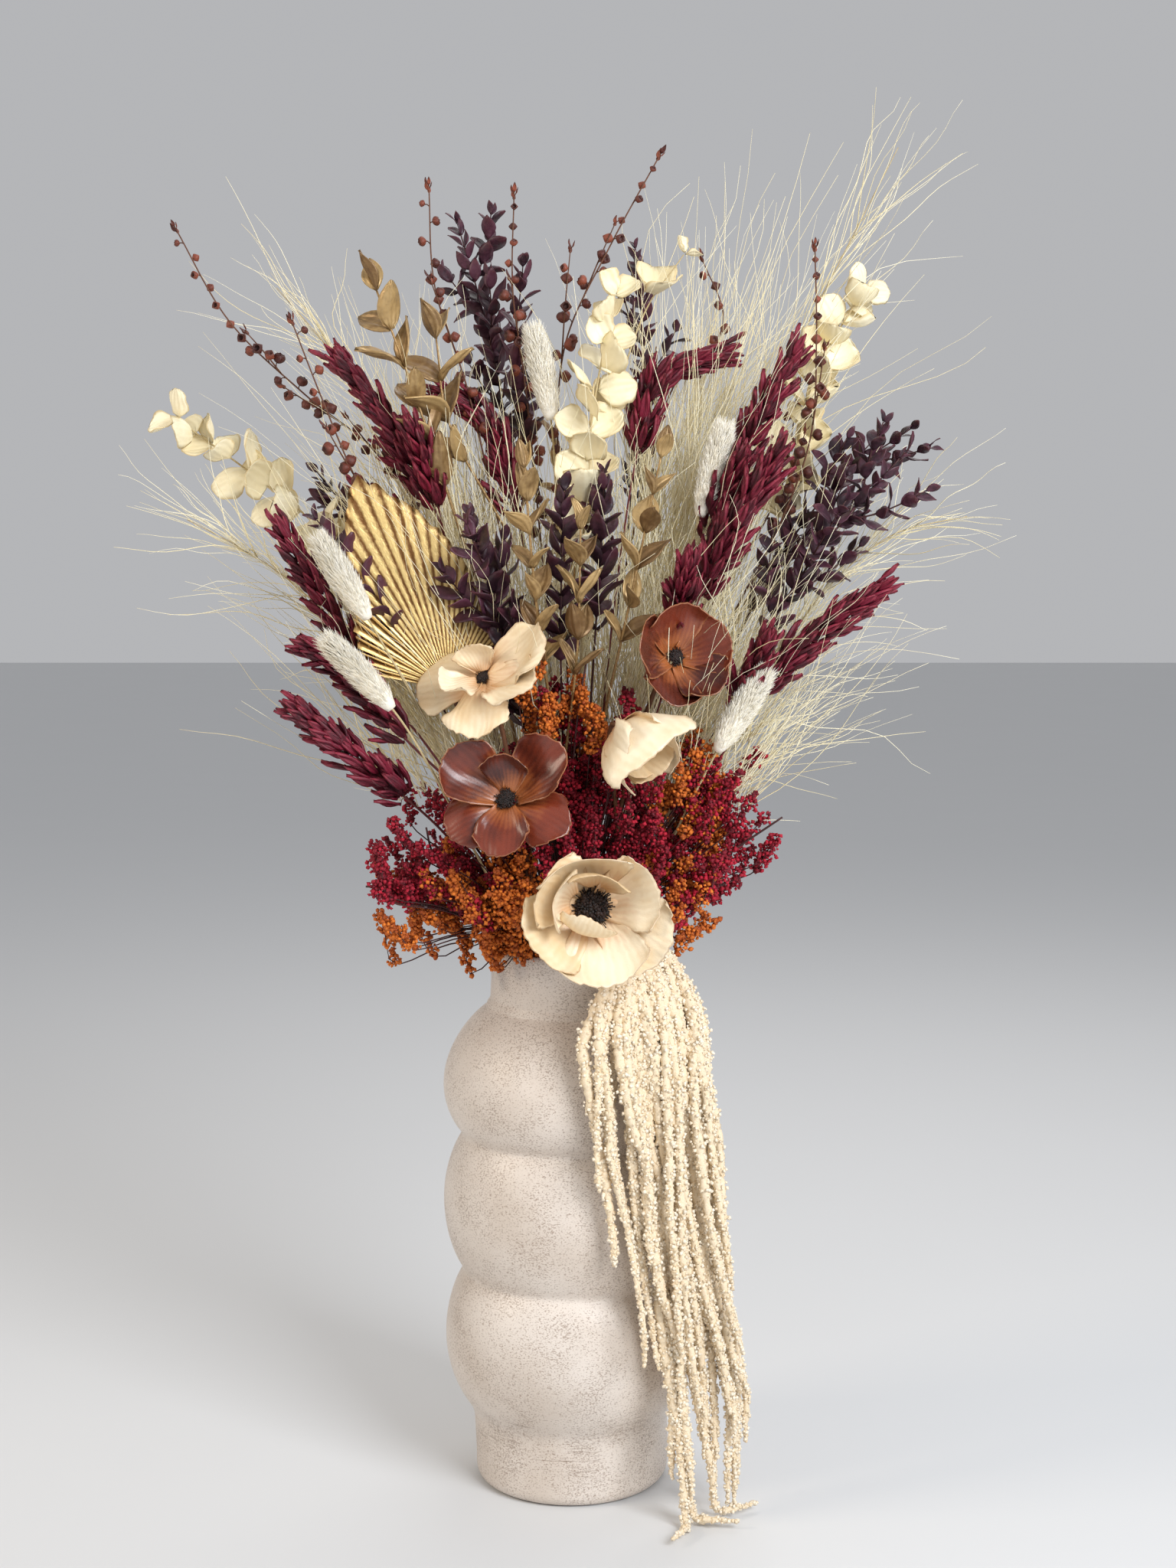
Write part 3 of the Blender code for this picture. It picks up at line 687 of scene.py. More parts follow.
def make_bead_stems(look):
    shape = seed_capsule()
    bud = pointed_leaf(0.45, 0.4, 0.5, 0.1)
    finishes = [FINISHES["brown_twig"], FINISHES["bead_pods"]]
    for _, node, random, route, cluster in planted("bead_stem", 100, 0.0010, 0.00045):
        beaded = route.length * BEADED_SHARES[node]
        add_capsules(cluster, route, shape, look, beaded, random)
        add_buds(cluster, route, bud, 5, 0.006, random)
        for distance, turn, spread, length in BEAD_TWIGS.get(node, ()):
            twig = side_twig(route, route.length * distance, turn, spread, length)
            cluster.stalk(twig, 0.0006, 0.00035)
            add_capsules(cluster, twig, shape, look, length * 0.85, random)
            add_buds(cluster, twig, bud, 4, 0.005, random)
        for through, beaded in BEAD_EXTRAS.get(node, ()):
            twig = further_stem(cluster, through, 0.0008, 0.0004)
            add_capsules(cluster, twig, shape, look, beaded, random)
            add_buds(cluster, twig, bud, 5, 0.006, random)
        settle(cluster.build(node + "_look", finishes), "bouquet", "bead_pods", node)


def add_round_leaves(cluster, route, shapes, look, leafy, random, small=0.68):
    """Pairs of round, cupped leaves that a branch seems threaded through, smaller to the tip."""
    distance = route.spread(route.length - leafy, look.pair_gap)
    pairs = len(distance)
    turn = np.arange(pairs) * math.pi / 2 + random.uniform(-0.35, 0.35, pairs)
    share = (route.length - distance) / leafy
    size = look.round_leaf * (small + (1 - small)
                              * np.clip(share * 2.6, 0, 1)) * random.uniform(0.86, 1.1, pairs)
    heading = route.heading(distance)
    for half in (0.0, math.pi):
        out = route.outward(distance, turn + half)
        open_out = random.uniform(0.35, 1.0, (pairs, 1))
        along = unit(out + heading * open_out + random.normal(0, 0.12, (pairs, 3)))
        face = unit(heading * 0.5 - out * 0.4 + np.array((0.0, -0.6, 0.1))
                    + random.normal(0, 0.35, (pairs, 3)))
        places = standing(route.at(distance) + out * 0.0008, along, face, size)
        place_mixed(cluster, shapes, places, random)


def make_eucalyptus(look):
    shapes = [round_leaf(0.35, 0.0, 1), round_leaf(0.12, 0.22, 2), round_leaf(0.6, -0.1, 3),
              round_leaf(-0.3, 0.15, 4)]
    finishes = [FINISHES["pale_twig"], FINISHES["cream_leaves"]]
    for _, node, random, route, cluster in planted("eucalyptus", 200, 0.0013, 0.0006):
        add_round_leaves(cluster, route, shapes, look, look.leafy_length, random)
        for through, leafy in EUCALYPTUS_EXTRAS.get(node, ()):
            twig = further_stem(cluster, through, 0.0009, 0.0004)
            add_round_leaves(cluster, twig, shapes, look, leafy, random, 0.5)
        settle(cluster.build(node + "_look", finishes), "bouquet", "cream_leaves", node)


def add_leaf_pairs(cluster, route, shapes, gap, size, leafy, spread, random, small=0.55):
    """Opposite pairs of leaves, each pair turned a quarter from the last."""
    distance = route.spread(max(route.length - leafy, 0.004), gap)
    pairs = len(distance)
    turn = np.arange(pairs) * math.pi / 2 + random.uniform(-0.3, 0.3, pairs) + random.uniform(0, 6)
    left = (route.length - distance) / leafy
    heading = route.heading(distance)
    for half in (0.0, math.pi):
        out = route.outward(distance, turn + half)
        open_out = spread * random.uniform(0.7, 1.35,
                                           (pairs, 1)) * (0.35 + 0.65 * np.clip(left * 3, 0, 1))[:, None]
        along = unit(heading + out * open_out + random.normal(0, 0.10, (pairs, 3)))
        face = unit(out * -0.7 + heading * 0.7 + random.normal(0, 0.25, (pairs, 3)))
        length = size * (small + (1 - small) * np.clip(left * 3, 0, 1)) * random.uniform(0.8, 1.12, pairs)
        places = standing(route.at(distance) + out * 0.0006, along, face, length)
        place_mixed(cluster, shapes, places, random)


def make_parvifolia(look):
    shapes = [pointed_leaf(0.58, 0.50, 0.35, 0.12), pointed_leaf(0.52, 0.48, -0.15, -0.15),
              pointed_leaf(0.62, 0.52, 0.2, 0.25)]
    finishes = [FINISHES["dark_twig"], FINISHES["purple_leaves"]]
    for order, node, random, route, cluster in planted("parvifolia", 300, 0.0012, 0.0005):
        leaf, leafy, twigs, reach = PARVIFOLIA[node]
        add_leaf_pairs(cluster, route, shapes, look.small_leaf_gap, leaf, leafy, 0.9, random)
        for i in range(twigs):
            start = route.length - leafy * (0.18 + 0.82 * (i + 0.5) / twigs)
            twig = side_twig(route, start, i * GOLDEN_TURN + order, 0.75, reach * random.uniform(0.75, 1.1))
            cluster.stalk(twig, 0.0006, 0.0004)
            add_leaf_pairs(cluster, twig, shapes, look.small_leaf_gap, leaf, reach, 0.9, random)
        for through, leafy in PARVIFOLIA_EXTRAS.get(node, ()):
            twig = further_stem(cluster, through, 0.0009, 0.0004)
            add_leaf_pairs(cluster, twig, shapes, look.small_leaf_gap, leaf * 1.1, leafy, 0.9, random)
        settle(cluster.build(node + "_look", finishes), "bouquet", "purple_leaves", node)


def make_oats(look):
    shapes = [pointed_leaf(0.27, 0.40, 0.7, 0.05, 6, 4, 0.08),
              pointed_leaf(0.23, 0.42, 0.9, -0.12, 6, 4, 0.08)]
    finishes = [FINISHES["oat_stalk"], FINISHES["burgundy_oats"]]
    for _, node, random, route, cluster in planted("oat", 400, 0.0011, 0.0005):
        heads = [(route, OAT_HEADS[node], look.spikelets)]
        for distance, turn, spread, length in OAT_TWIGS.get(node, ()):
            twig = side_twig(route, route.length * distance, turn, spread, length, 0.3, 6)
            cluster.stalk(twig, 0.0007, 0.0004)
            heads.append((twig, length * 0.75, int(look.spikelets * 0.5)))
        for through, length, count in OAT_EXTRAS.get(node, ()):
            twig = further_stem(cluster, through, 0.0009, 0.0005)
            heads.append((twig, length, count))
        for head, length, count in heads:
            share = np.sort(random.uniform(0, 1, count)) ** 0.85
            distance = head.length - length * (1 - share * 0.98)
            turn = np.arange(count) * GOLDEN_TURN
            out = head.outward(distance, turn)
            heading = head.heading(distance)
            spread = random.uniform(0.12, 0.62, (count, 1)) * (1.15 - 0.55 * share[:, None])
            along = unit(heading + out * spread - np.array((0, 0, 0.12)))
            size = look.spikelet * random.uniform(0.75, 1.15, count) * (1 - 0.18 * share)
            foot = head.at(distance) + out * random.uniform(0.0008, 0.0075,
                                                            (count, 1)) * (1 - 0.6 * share[:, None])
            places = standing(foot, along, out, np.stack((size, size, size), axis=1))
            place_mixed(cluster, shapes, places, random)
            hooks = np.stack((head.at(distance), head.at(distance) * 0.5 + foot * 0.5 + heading * 0.001,
                              foot), axis=1)
            cluster.rods(hooks, 0.00022, 3, 0.4)
        settle(cluster.build(node + "_look", finishes), "bouquet", "burgundy_oats", node)


def make_gold_branches(look):
    shapes = [pointed_leaf(0.52, 0.42, 0.45, 0.12, 8, 6), pointed_leaf(0.46, 0.40, 0.65, -0.10, 8, 6),
              pointed_leaf(0.58, 0.44, 0.25, 0.28, 8, 6)]
    finishes = [FINISHES["gold_twig"], FINISHES["gold_leaves"]]
    for _, node, random, route, cluster in planted("gold_branch", 500, 0.0014, 0.0007):
        leaf, gap, leafy, twigs = GOLD_BRANCHES[node]
        add_leaf_pairs(cluster, route, shapes, gap, leaf * look.gold_leaf_scale, leafy, 0.75, random, 0.75)
        for distance, turn, spread, length in twigs:
            twig = side_twig(route, route.length * distance, turn, spread, length)
            cluster.stalk(twig, 0.0009, 0.0005)
            add_leaf_pairs(cluster, twig, shapes, gap, leaf * 0.9, length * 0.8, 0.75, random, 0.75)
        for through, leafy in GOLD_EXTRAS.get(node, ()):
            twig = further_stem(cluster, through, 0.0010, 0.0006)
            add_leaf_pairs(cluster, twig, shapes, gap, leaf, leafy, 0.75, random, 0.75)
        settle(cluster.build(node + "_look", finishes), "bouquet", "gold_leaves", node)


def make_bunny_tails(look):
    finishes = [FINISHES["pale_twig"], FINISHES["bunny_tails"]]
    for _, node, random, route, cluster in planted("bunny_tail", 600, 0.0010, 0.0006):
        head = look.tail_length
        start = route.length - head
        distance = np.linspace(start, route.length, 22)
        share = np.linspace(0, 1, 22)
        girth = look.tail_radius * np.clip(np.sin(math.pi * (0.04 + 0.92 * share)), 0.05, 1) ** 0.45
        girth = girth * (1.08 - 0.25 * share)
        cluster.rods(route.at(distance)[None], (girth * 0.66)[None], 14, 0.5, HEAD_FINISH)
        count = look.hairs
        share = random.uniform(0, 1, count)
        where = start + head * share
        turn = random.uniform(0, math.tau, count)
        out = route.outward(where, turn)
        heading = route.heading(where)
        girth = look.tail_radius * np.clip(np.sin(math.pi * (0.04 + 0.92 * share)), 0.05, 1)[:,
                                                                                             None] ** 0.45
        foot = route.at(where) + out * girth * 0.5
        lift = random.uniform(0.30, 0.62, (count, 1))
        length = look.hair_length * random.uniform(0.6, 1.15, (count, 1))
        middle = foot + unit(out * lift + heading) * length * 0.5
        swirl = random.normal(0, 0.16, (count, 3))
        tip = middle + unit(out * lift * 0.7 + heading + swirl) * length * 0.5
        radii = np.array((0.00022, 0.00016, 0.00005))
        cluster.rods(np.stack((foot, middle, tip), axis=1), radii, 3, random.uniform(0, 1, count),
                     HEAD_FINISH)
        settle(cluster.build(node + "_look", finishes), "bouquet", "bunny_tails", node)


def inside_room(paths):
    """Shortens the paths that leave the arrangement's room, each toward its foot."""
    foot = paths[:, :1]
    reach = paths - foot
    space = np.where(reach > 0, ROOM_HIGH - foot, ROOM_LOW - foot)
    share = np.min(np.where(np.abs(reach) > 1e-6, space / np.where(np.abs(reach) > 1e-6, reach, 1), 9),
                   axis=(1, 2))
    return foot + reach * np.clip(share, 0.05, 1)[:, None, None]


def blades(cluster, feet, directions, lengths, bends, thick, random, steps=12):
    """Many fine hairs of grass: each leaves its foot in a direction and bows by its bend."""
    share = np.linspace(0, 1, steps)[None, :, None]
    count = len(feet)
    first = random.normal(0, 1, (count, 1, 3)) * lengths[:, None, None] * 0.030
    second = random.normal(0, 1, (count, 1, 3)) * lengths[:, None, None] * 0.012
    phase = random.uniform(0, 6, (count, 1, 1))
    paths = feet[:, None] + directions[:, None] * lengths[:, None, None] * share
    paths = paths + bends[:, None] * share**2
    paths = paths + first * (np.sin(share * 5.0 + phase) - np.sin(phase))
    paths = inside_room(paths + second * (np.sin(share * 12.0 + phase) - np.sin(phase)))
    radii = thick * (1 - 0.70 * share[..., 0] ** 1.5)
    cluster.rods(paths, radii * random.uniform(0.75, 1.2, (count, 1)), 3, random.uniform(0, 1, count),
                 HEAD_FINISH)


def grass_plume(cluster, route, low, count, spread, length, droop, thick, random):
    """Grass hairs that leave a stem along its length, at a fine angle, and droop."""
    distance = route.length * (low + (0.92 - low) * random.uniform(0, 1, count))
    out = route.outward(distance, random.uniform(0, math.tau, count))
    heading = route.heading(distance)
    directions = unit(heading + out * np.abs(random.normal(0, spread, (count, 1))))
    lengths = length * random.uniform(0.45, 1.0, count)
    bends = out * (lengths * random.uniform(-0.05, 0.16, count))[:, None]
    bends[:, 2] -= lengths * random.uniform(0.3, 1.0, count) * droop
    blades(cluster, route.at(distance), directions, lengths, bends, thick, random)


def loose_grass(cluster, low, high, count, length, fan, thick, random):
    """Hairs of grass that fill a stretch of the arrangement: they rise from a box, and fan out."""
    low, high = above_rim((low, high))
    feet = low + (high - low) * random.uniform(0, 1, (count, 3))
    away = feet - np.array((0, 0, RIM_Z - 0.06))
    directions = unit(unit(away) + random.normal(0, fan, (count, 3)))
    lengths = length * random.uniform(0.5, 1.0, count)
    bends = random.normal(0, 0.15, (count, 3)) * lengths[:, None]
    bends[:, 2] -= lengths * 0.05
    blades(cluster, feet, directions, lengths, bends, thick, random)


def make_grass(look):
    finishes = [FINISHES["pale_twig"], FINISHES["feather_grass"]]
    for _, node, random, route, cluster in planted("grass", 700, 0.0009, 0.0003):
        low, count, spread, length, droop = GRASS_PLUMES[node]
        grass_plume(cluster, route, low, count, spread, length, droop, look.blade_radius, random)
        for low_corner, high_corner, count, length, fan in GRASS_FILL.get(node, ()):
            loose_grass(cluster, low_corner, high_corner, count, length, fan, look.blade_radius, random)
        settle(cluster.build(node + "_look", finishes), "bouquet", "feather_grass", node)


# ---- sprigs of fine florets ----


def floret_spikes(cluster, tips, crumbs, look, random):
    """Cone-shaped spikes of crumbs, each on a thin dark stalk that comes from the neck."""
    for tip in tips:
        away = tip - np.array((tip[0] * 0.35, tip[1] * 0.35, RIM_Z - 0.050))
        heading = unit(unit(away) + random.normal(0, 0.30, 3))
        length = look.spike_length * random.uniform(0.65, 1.15)
        route = Route((tip - heading * length,
                       tip - heading * length * 0.5 + random.normal(0, 0.0015, 3), tip), 4)
        count = int(look.florets * length / look.spike_length)
        share = np.sort(random.uniform(0, 1, count))
        out = route.outward(share * route.length, np.arange(count) * GOLDEN_TURN)
        swell = 0.55 + 0.65 * np.sin(math.pi * (0.15 + 0.75 * share))
        girth = look.spike_radius * random.uniform(0.75, 1.15) * swell
        lumps = 0.70 + 0.50 * np.sin(share * random.uniform(14, 24) + random.uniform(0, 6))
        reach = girth * lumps * random.uniform(0.35, 1.0, count) ** 0.6
        at = route.at(share * route.length) + out * reach[:, None]
        face = unit(random.normal(0, 1, (count, 3)))
        size = look.floret * random.uniform(0.65, 1.2, count)
        pick = random.integers(0, len(crumbs), count)
        places = standing(at, face, unit(random.normal(0, 1, (count, 3))), size)
        # Florets further from the spike's middle get a higher tone and the light colour, those deep inside
        # the dark colour: painted shade between the florets.
        depth = np.clip(reach / (look.spike_radius * 1.1), 0, 1)
        tone = np.clip(depth * 0.7 + random.uniform(-0.1, 0.35, count), 0, 1)
        for which, crumb in enumerate(crumbs):
            cluster.place(crumb, places[pick == which], tone[pick == which])
        root = np.array((tip[0] * 0.28, tip[1] * 0.28, RIM_Z + 0.004))
        bow = root * 0.45 + (tip - heading * length) * 0.55 + np.array((0, 0, 0.006))
        stalk = Route((root, bow, tip - heading * length, tip - heading * length * 0.3), 5)
        cluster.stalk(stalk, 0.0006, 0.0003, 0.008, 4)


def swung_tails():
    """Points down the middle of each tail, swung out halfway and all the way."""
    axis = unit(np.array(HINGE["axis"]))
    spots = []
    for node in STRANDS:
        middles = np.array([ring.mean(axis=0) for ring in rings_of(node, TAIL_SIDES,
                                                                   HINGE_PIVOT)]) - HINGE_PIVOT
        for turn in (FULL_SWING / 2, FULL_SWING):
            turned = middles * math.cos(turn) + np.cross(axis, middles) * math.sin(turn)
            spots.append(turned + np.outer(middles @ axis, axis) * (1 - math.cos(turn)) + HINGE_PIVOT)
    return np.concatenate(spots)


def swing_foot(tips):
    """A place about a spike's length back from each tip, towards the neck."""
    return tips - unit(tips - NECK_CENTRE) * 0.040


def make_sprigs(look, colour):
    crumbs = [rough_crumb(seed, 0.35) for seed in (1, 2, 3)]
    finishes = [FINISHES["dark_twig"], FINISHES[colour + "_sprigs"]]
    flowers = [flower_frame(node) for node in FLOWER_PETALS]
    swung = swung_tails()
    seed = 850 if colour == "orange" else 800
    for _, node, random, _, cluster in planted(colour + "_sprig", seed, 0.0011, 0.0006):
        for centre, spread, count in SPRIG_BUSHES[node]:
            offsets = random.uniform(-1, 1, (count, 3)) * np.array(spread)
            tips = above_rim(centre) + offsets
            for middle, facing in flowers:
                tips = tips[np.linalg.norm(tips - middle - facing * 0.010, axis=1) > look.flower_room]
            for step in (0.0, 0.6):
                inside = tips * (1 - step) + swing_foot(tips) * step
                gaps = np.linalg.norm(inside[:, None] - swung[None], axis=2).min(axis=1)
                tips = tips[gaps > look.tail_room]
            floret_spikes(cluster, tips, crumbs, look, random)
        settle(cluster.build(node + "_look", finishes), "bouquet", colour + "_sprigs", node)


# ---- flowers ----


def flower_frame(node):
    """The centre of a packed ring of petals and the way that it faces."""
    points = np.unique(np.round(read_points(frame["nodes"][node].data), 7), axis=0)
    middle = points.mean(axis=0)
    facing = np.linalg.svd(points - middle, full_matrices=False)[2][2]
    lift = (points - middle) @ facing
    reach = np.linalg.norm(points - middle - lift[:, None] * facing, axis=1)
    inner = reach < reach.min() * 1.4
    if lift[~inner].mean() < lift[inner].mean():
        facing = -facing
        lift = -lift
    return middle + facing * lift[inner].mean(), facing


def ragged(seed):
    """A wavering number for each place along an edge, seeded."""
    random = np.random.default_rng(seed)
    pitch = np.array((5.0, 11.0, 19.0, 31.0, 47.0))
    phase = random.uniform(0, math.tau, 5)
    strength = np.array((0.5, 0.6, 0.8, 0.7, 0.6))

    def waver(along):
        return np.sum(np.sin(along[..., None] * pitch + phase) * strength, axis=-1)

    return waver


def petal(length, width, curl, cup, ruffle, torn, seed):
    """One leathery petal: curl bends it along its length, cup across it, and its rim ruffles and tears."""
    side_wave = ragged(seed)
    tip_wave = ragged(seed + 500)
    random = np.random.default_rng(seed)
    phase = random.uniform(0, 6, 4)
    turn = curl if abs(curl) > 0.01 else 0.01

    def bend(along, across):
        outline = 0.24 + 0.76 * np.sin(math.pi * (0.04 + 0.60 * along))
        rim = np.abs(across) ** 5
        outline = outline * (1 + rim * side_wave(along * 1.3 + across) * torn)
        reach = along - 0.30 * across**2 * along**2.5 + along**9 * tip_wave(across) * torn * 0.9
        x = across * outline * width / 2 * (1 - 0.16 * abs(cup) * across**2)
        y = length * np.sin(turn * reach) / turn
        z = length * (1 - np.cos(turn * reach)) / turn
        z = z + cup * width / 2 * across**2 * (0.35 + 0.65 * along)
        wave = np.sin(across * 4.2 + phase[0]) * along**2 + 0.7 * np.sin(along * 6 + across * 3 + phase[1])
        z = z + ruffle * length * (wave + np.sin(across * 8 + along * 4 + phase[2]) * rim * 1.2)
        z = z + ruffle * length * 0.6 * np.sin(along * 11 + phase[3]) * np.abs(across) ** 3
        return np.stack((x, y, z), axis=-1)

    return thin_leaf(26, 22, bend, 0.0006)


def place_petals(cluster, centre, facing, petals):
    """Sets petals round a flower's centre. A turn of 0 points up, and it grows clockwise from in front."""
    up = square_to(facing, np.array((0.0, 0.0, 1.0)))
    right = np.cross(up, facing)
    for seed, turn, tilt, length, width, curl, cup, ruffle, torn, lift, foot_gap in petals:
        angle = math.radians(turn)
        rise = math.radians(tilt)
        away = up * math.cos(angle) + right * math.sin(angle)
        along = away * math.cos(rise) + facing * math.sin(rise)
        face = facing * math.cos(rise) - away * math.sin(rise)
        foot = centre + away * foot_gap + facing * lift
        shape = petal(length, width, curl, cup, ruffle, torn, seed)
        cluster.place(shape, standing(foot[None], along, face, 1.0), (seed % 7) / 6, STALK_FINISH)


def make_petals(look, colour):
    for node, petals in FLOWER_PETALS.items():
        if not node.startswith(colour):
            continue
        centre, facing = flower_frame(node)
        cluster = Cluster()
        scaled = [(p[0], p[1], p[2], p[3] * look.petal_scale, p[4] * look.petal_scale,
                   *p[5:]) for p in petals]
        place_petals(cluster, centre, facing, scaled)
        settle(cluster.build(node + "_look", [FINISHES[colour + "_petals"]]), "bouquet",
               colour + "_petals", node)


def make_flower_stems():
    """The stems of the flowers, each with the dark heart of its flower on it."""
    crumbs = [rough_crumb(seed, 0.3) for seed in (11, 12)]
    for order, node in enumerate(nodes_named("cream_flower", "copper_flower")):
        if not node.endswith("_stem"):
            continue
        random = np.random.default_rng(900 + order)
        flower = node[: -len("_stem")]
        centre, facing = flower_frame(flower + "_petals")
        route = stem_route(node, 6, 4)
        cluster = Cluster()
        cluster.stalk(Route((*route.at(np.linspace(0, route.length, 8)), centre)), 0.0015, 0.0014, 0.004, 8)
        wide, lift, filaments = FLOWER_HEARTS[flower]
        heart = centre + facing * lift
        aside = square_to(facing, np.array((0.0, 0.0, 1.0)))
        second = np.cross(facing, aside)
        count = 90
        share = np.sqrt((np.arange(count) + 0.5) / count)
        turn = np.arange(count) * GOLDEN_TURN
        away = aside * np.cos(turn)[:, None] + second * np.sin(turn)[:, None]
        dome = np.sqrt(np.clip(1 - share**2, 0, 1))
        at = heart + away * (share * wide * 0.72)[:, None] + facing * (dome * wide * 0.30)[:, None]
        face = unit(random.normal(0, 1, (count, 3)))
        for which, crumb in enumerate(crumbs):
            chosen = slice(which, None, 2)
            places = standing(at[chosen], face[chosen], away[chosen],
                              wide * 0.13 * random.uniform(0.8, 1.4, count // 2))
            cluster.place(crumb, places, random.uniform(0, 1, count // 2))
        turn = random.uniform(0, math.tau, filaments)
        away = aside * np.cos(turn)[:, None] + second * np.sin(turn)[:, None]
        share = random.uniform(0.25, 0.85, (filaments, 1))
        foot = heart + away * wide * share * 0.9 + facing * wide * 0.20 * (1 - share)
        lean = unit(away * share * 1.5 + facing * random.uniform(0.4, 1.1, (filaments, 1)))
        reach = wide * random.uniform(0.22, 0.42, (filaments, 1))
        paths = np.stack((foot, foot + lean * reach * 0.6, foot + lean * reach), axis=1)
        cluster.rods(paths, np.array((0.0003, 0.00028, 0.00045)), 4, random.uniform(0, 1, filaments),
                     HEAD_FINISH)
        finishes = [FINISHES["wood_stems"], FINISHES["dark_heart"]]
        settle(cluster.build(node + "_look", finishes), "bouquet", "wood_stems", node)


# ---- palm spear ----


def make_palm_spear(look):
    """The pleated spear: pleats that spread from the stem's tip, with a slanting cut across their ends."""
    stem = stem_route("palm_spear_stem")
    base = stem.points[-1]
    points = read_points(frame["nodes"]["palm_spear_blade"].data)
    out = np.linalg.svd(points - points.mean(axis=0), full_matrices=False)[2][2]
    out = out * -np.sign(out[1])
    up = square_to(out, np.array((0.0, 0.0, 1.0)))
    left = np.cross(up, out)
    left = left * -np.sign(left[0])
    angles = [angle for angle, _ in SPEAR_OUTLINE]
    lengths = [length for _, length in SPEAR_OUTLINE]
    cluster = Cluster()
    cluster.stalk(stem, 0.0015, 0.0015)
    settle(cluster.build("palm_spear_stem_look", [FINISHES["wood_stems"]]), "bouquet", "wood_stems",
           "palm_spear_stem")

    def fan(first, last, pleats, seed):
        """Pleats between two angles, in degrees to the left of straight up."""
        random = np.random.default_rng(seed)
        jag = random.uniform(-0.035, 0.012, pleats * 2 + 1)

        def bend(along, side):
            step = (side + 1) / 2
            column = np.clip(np.round(step * pleats * 2).astype(int), 0, pleats * 2)
            angle = first + (last - first) * step
            length = np.interp(angle, angles, lengths) * look.spear_scale
            length = length * (1 + jag[column] * along**6)
            distance = 0.003 + length * along
            turned = np.radians(angle)
            fold = np.where(column % 2 == 0, 1.0, -1.0) * look.pleat_depth * (0.08 + 0.92 * along**0.7)
            bow = 0.012 * along**2 * side**2 - 0.006 * along
            place = up * (distance * np.cos(turned))[:, None] + left * (distance * np.sin(turned))[:, None]
            return base + place + out * (fold + bow)[:, None]

        shape = thin_leaf(16, pleats * 2, bend, 0.0005)
        # The across mark is 1 on the pleats' ridges and -1 in their valleys; the spear's finish paints the
        # ridges bright and the valleys brown, as painted highlight and painted shade.
        column = np.round((shape.across + 1) * pleats)
        shape.across = np.where(column % 2 == 0, 1.0, -1.0)
        return shape

    cluster = Cluster()
    cluster.add(fan(-74, 44, 31, 5), 0.5, 0)
    for number, first in enumerate((45, 52, 59, 66, 73)):
        cluster.add(fan(first + 0.8, first + 6.0, 1, 6 + number), 0.3, 0)
    settle(cluster.build("palm_spear_blade_look", [FINISHES["gold_spear"]]), "bouquet", "gold_spear",
           "palm_spear_blade")


# ---- vase ----


def lobe_line(low, height, r_low, r_high, widest, points):
    """One rounded lobe of the vase's outline, from its lower crease up."""
    share = np.arange(points) / points
    bulge = widest - (r_low + r_high) / 2
    swell = bulge * (4 * share * (1 - share)) ** 0.8
    return np.stack((r_low + (r_high - r_low) * share + swell, low + height * share), axis=-1)


def vase_outline(look):
    """The outer wall as (radius, height), from the middle of the underside to the rim."""
    lower = look.foot_height
    middle = lower + look.lower_lobe
    upper = middle + look.middle_lobe
    neck = upper + look.upper_lobe
    edge = look.foot_edge
    turn = np.linspace(0, math.pi / 2, 6)
    foot = np.stack((look.foot_radius - edge * (1 - np.sin(turn)), edge * (1 - np.cos(turn))), axis=-1)
    parts = [((0.0, 0.0), (look.foot_radius * 0.5, 0.0)), foot, ((look.foot_radius, lower * 0.6),)]
    parts.append(lobe_line(lower, look.lower_lobe, look.foot_radius, look.crease_radius,
                           look.lower_radius, 30))
    parts.append(lobe_line(middle, look.middle_lobe, look.crease_radius, look.crease_radius,
                           look.middle_radius, 30))
    parts.append(lobe_line(upper, look.upper_lobe, look.crease_radius, look.neck_radius,
                           look.upper_radius, 30))
    parts.append(((look.neck_radius, neck), (look.neck_radius, RIM_Z - look.wall / 2)))
    return np.vstack(parts), neck


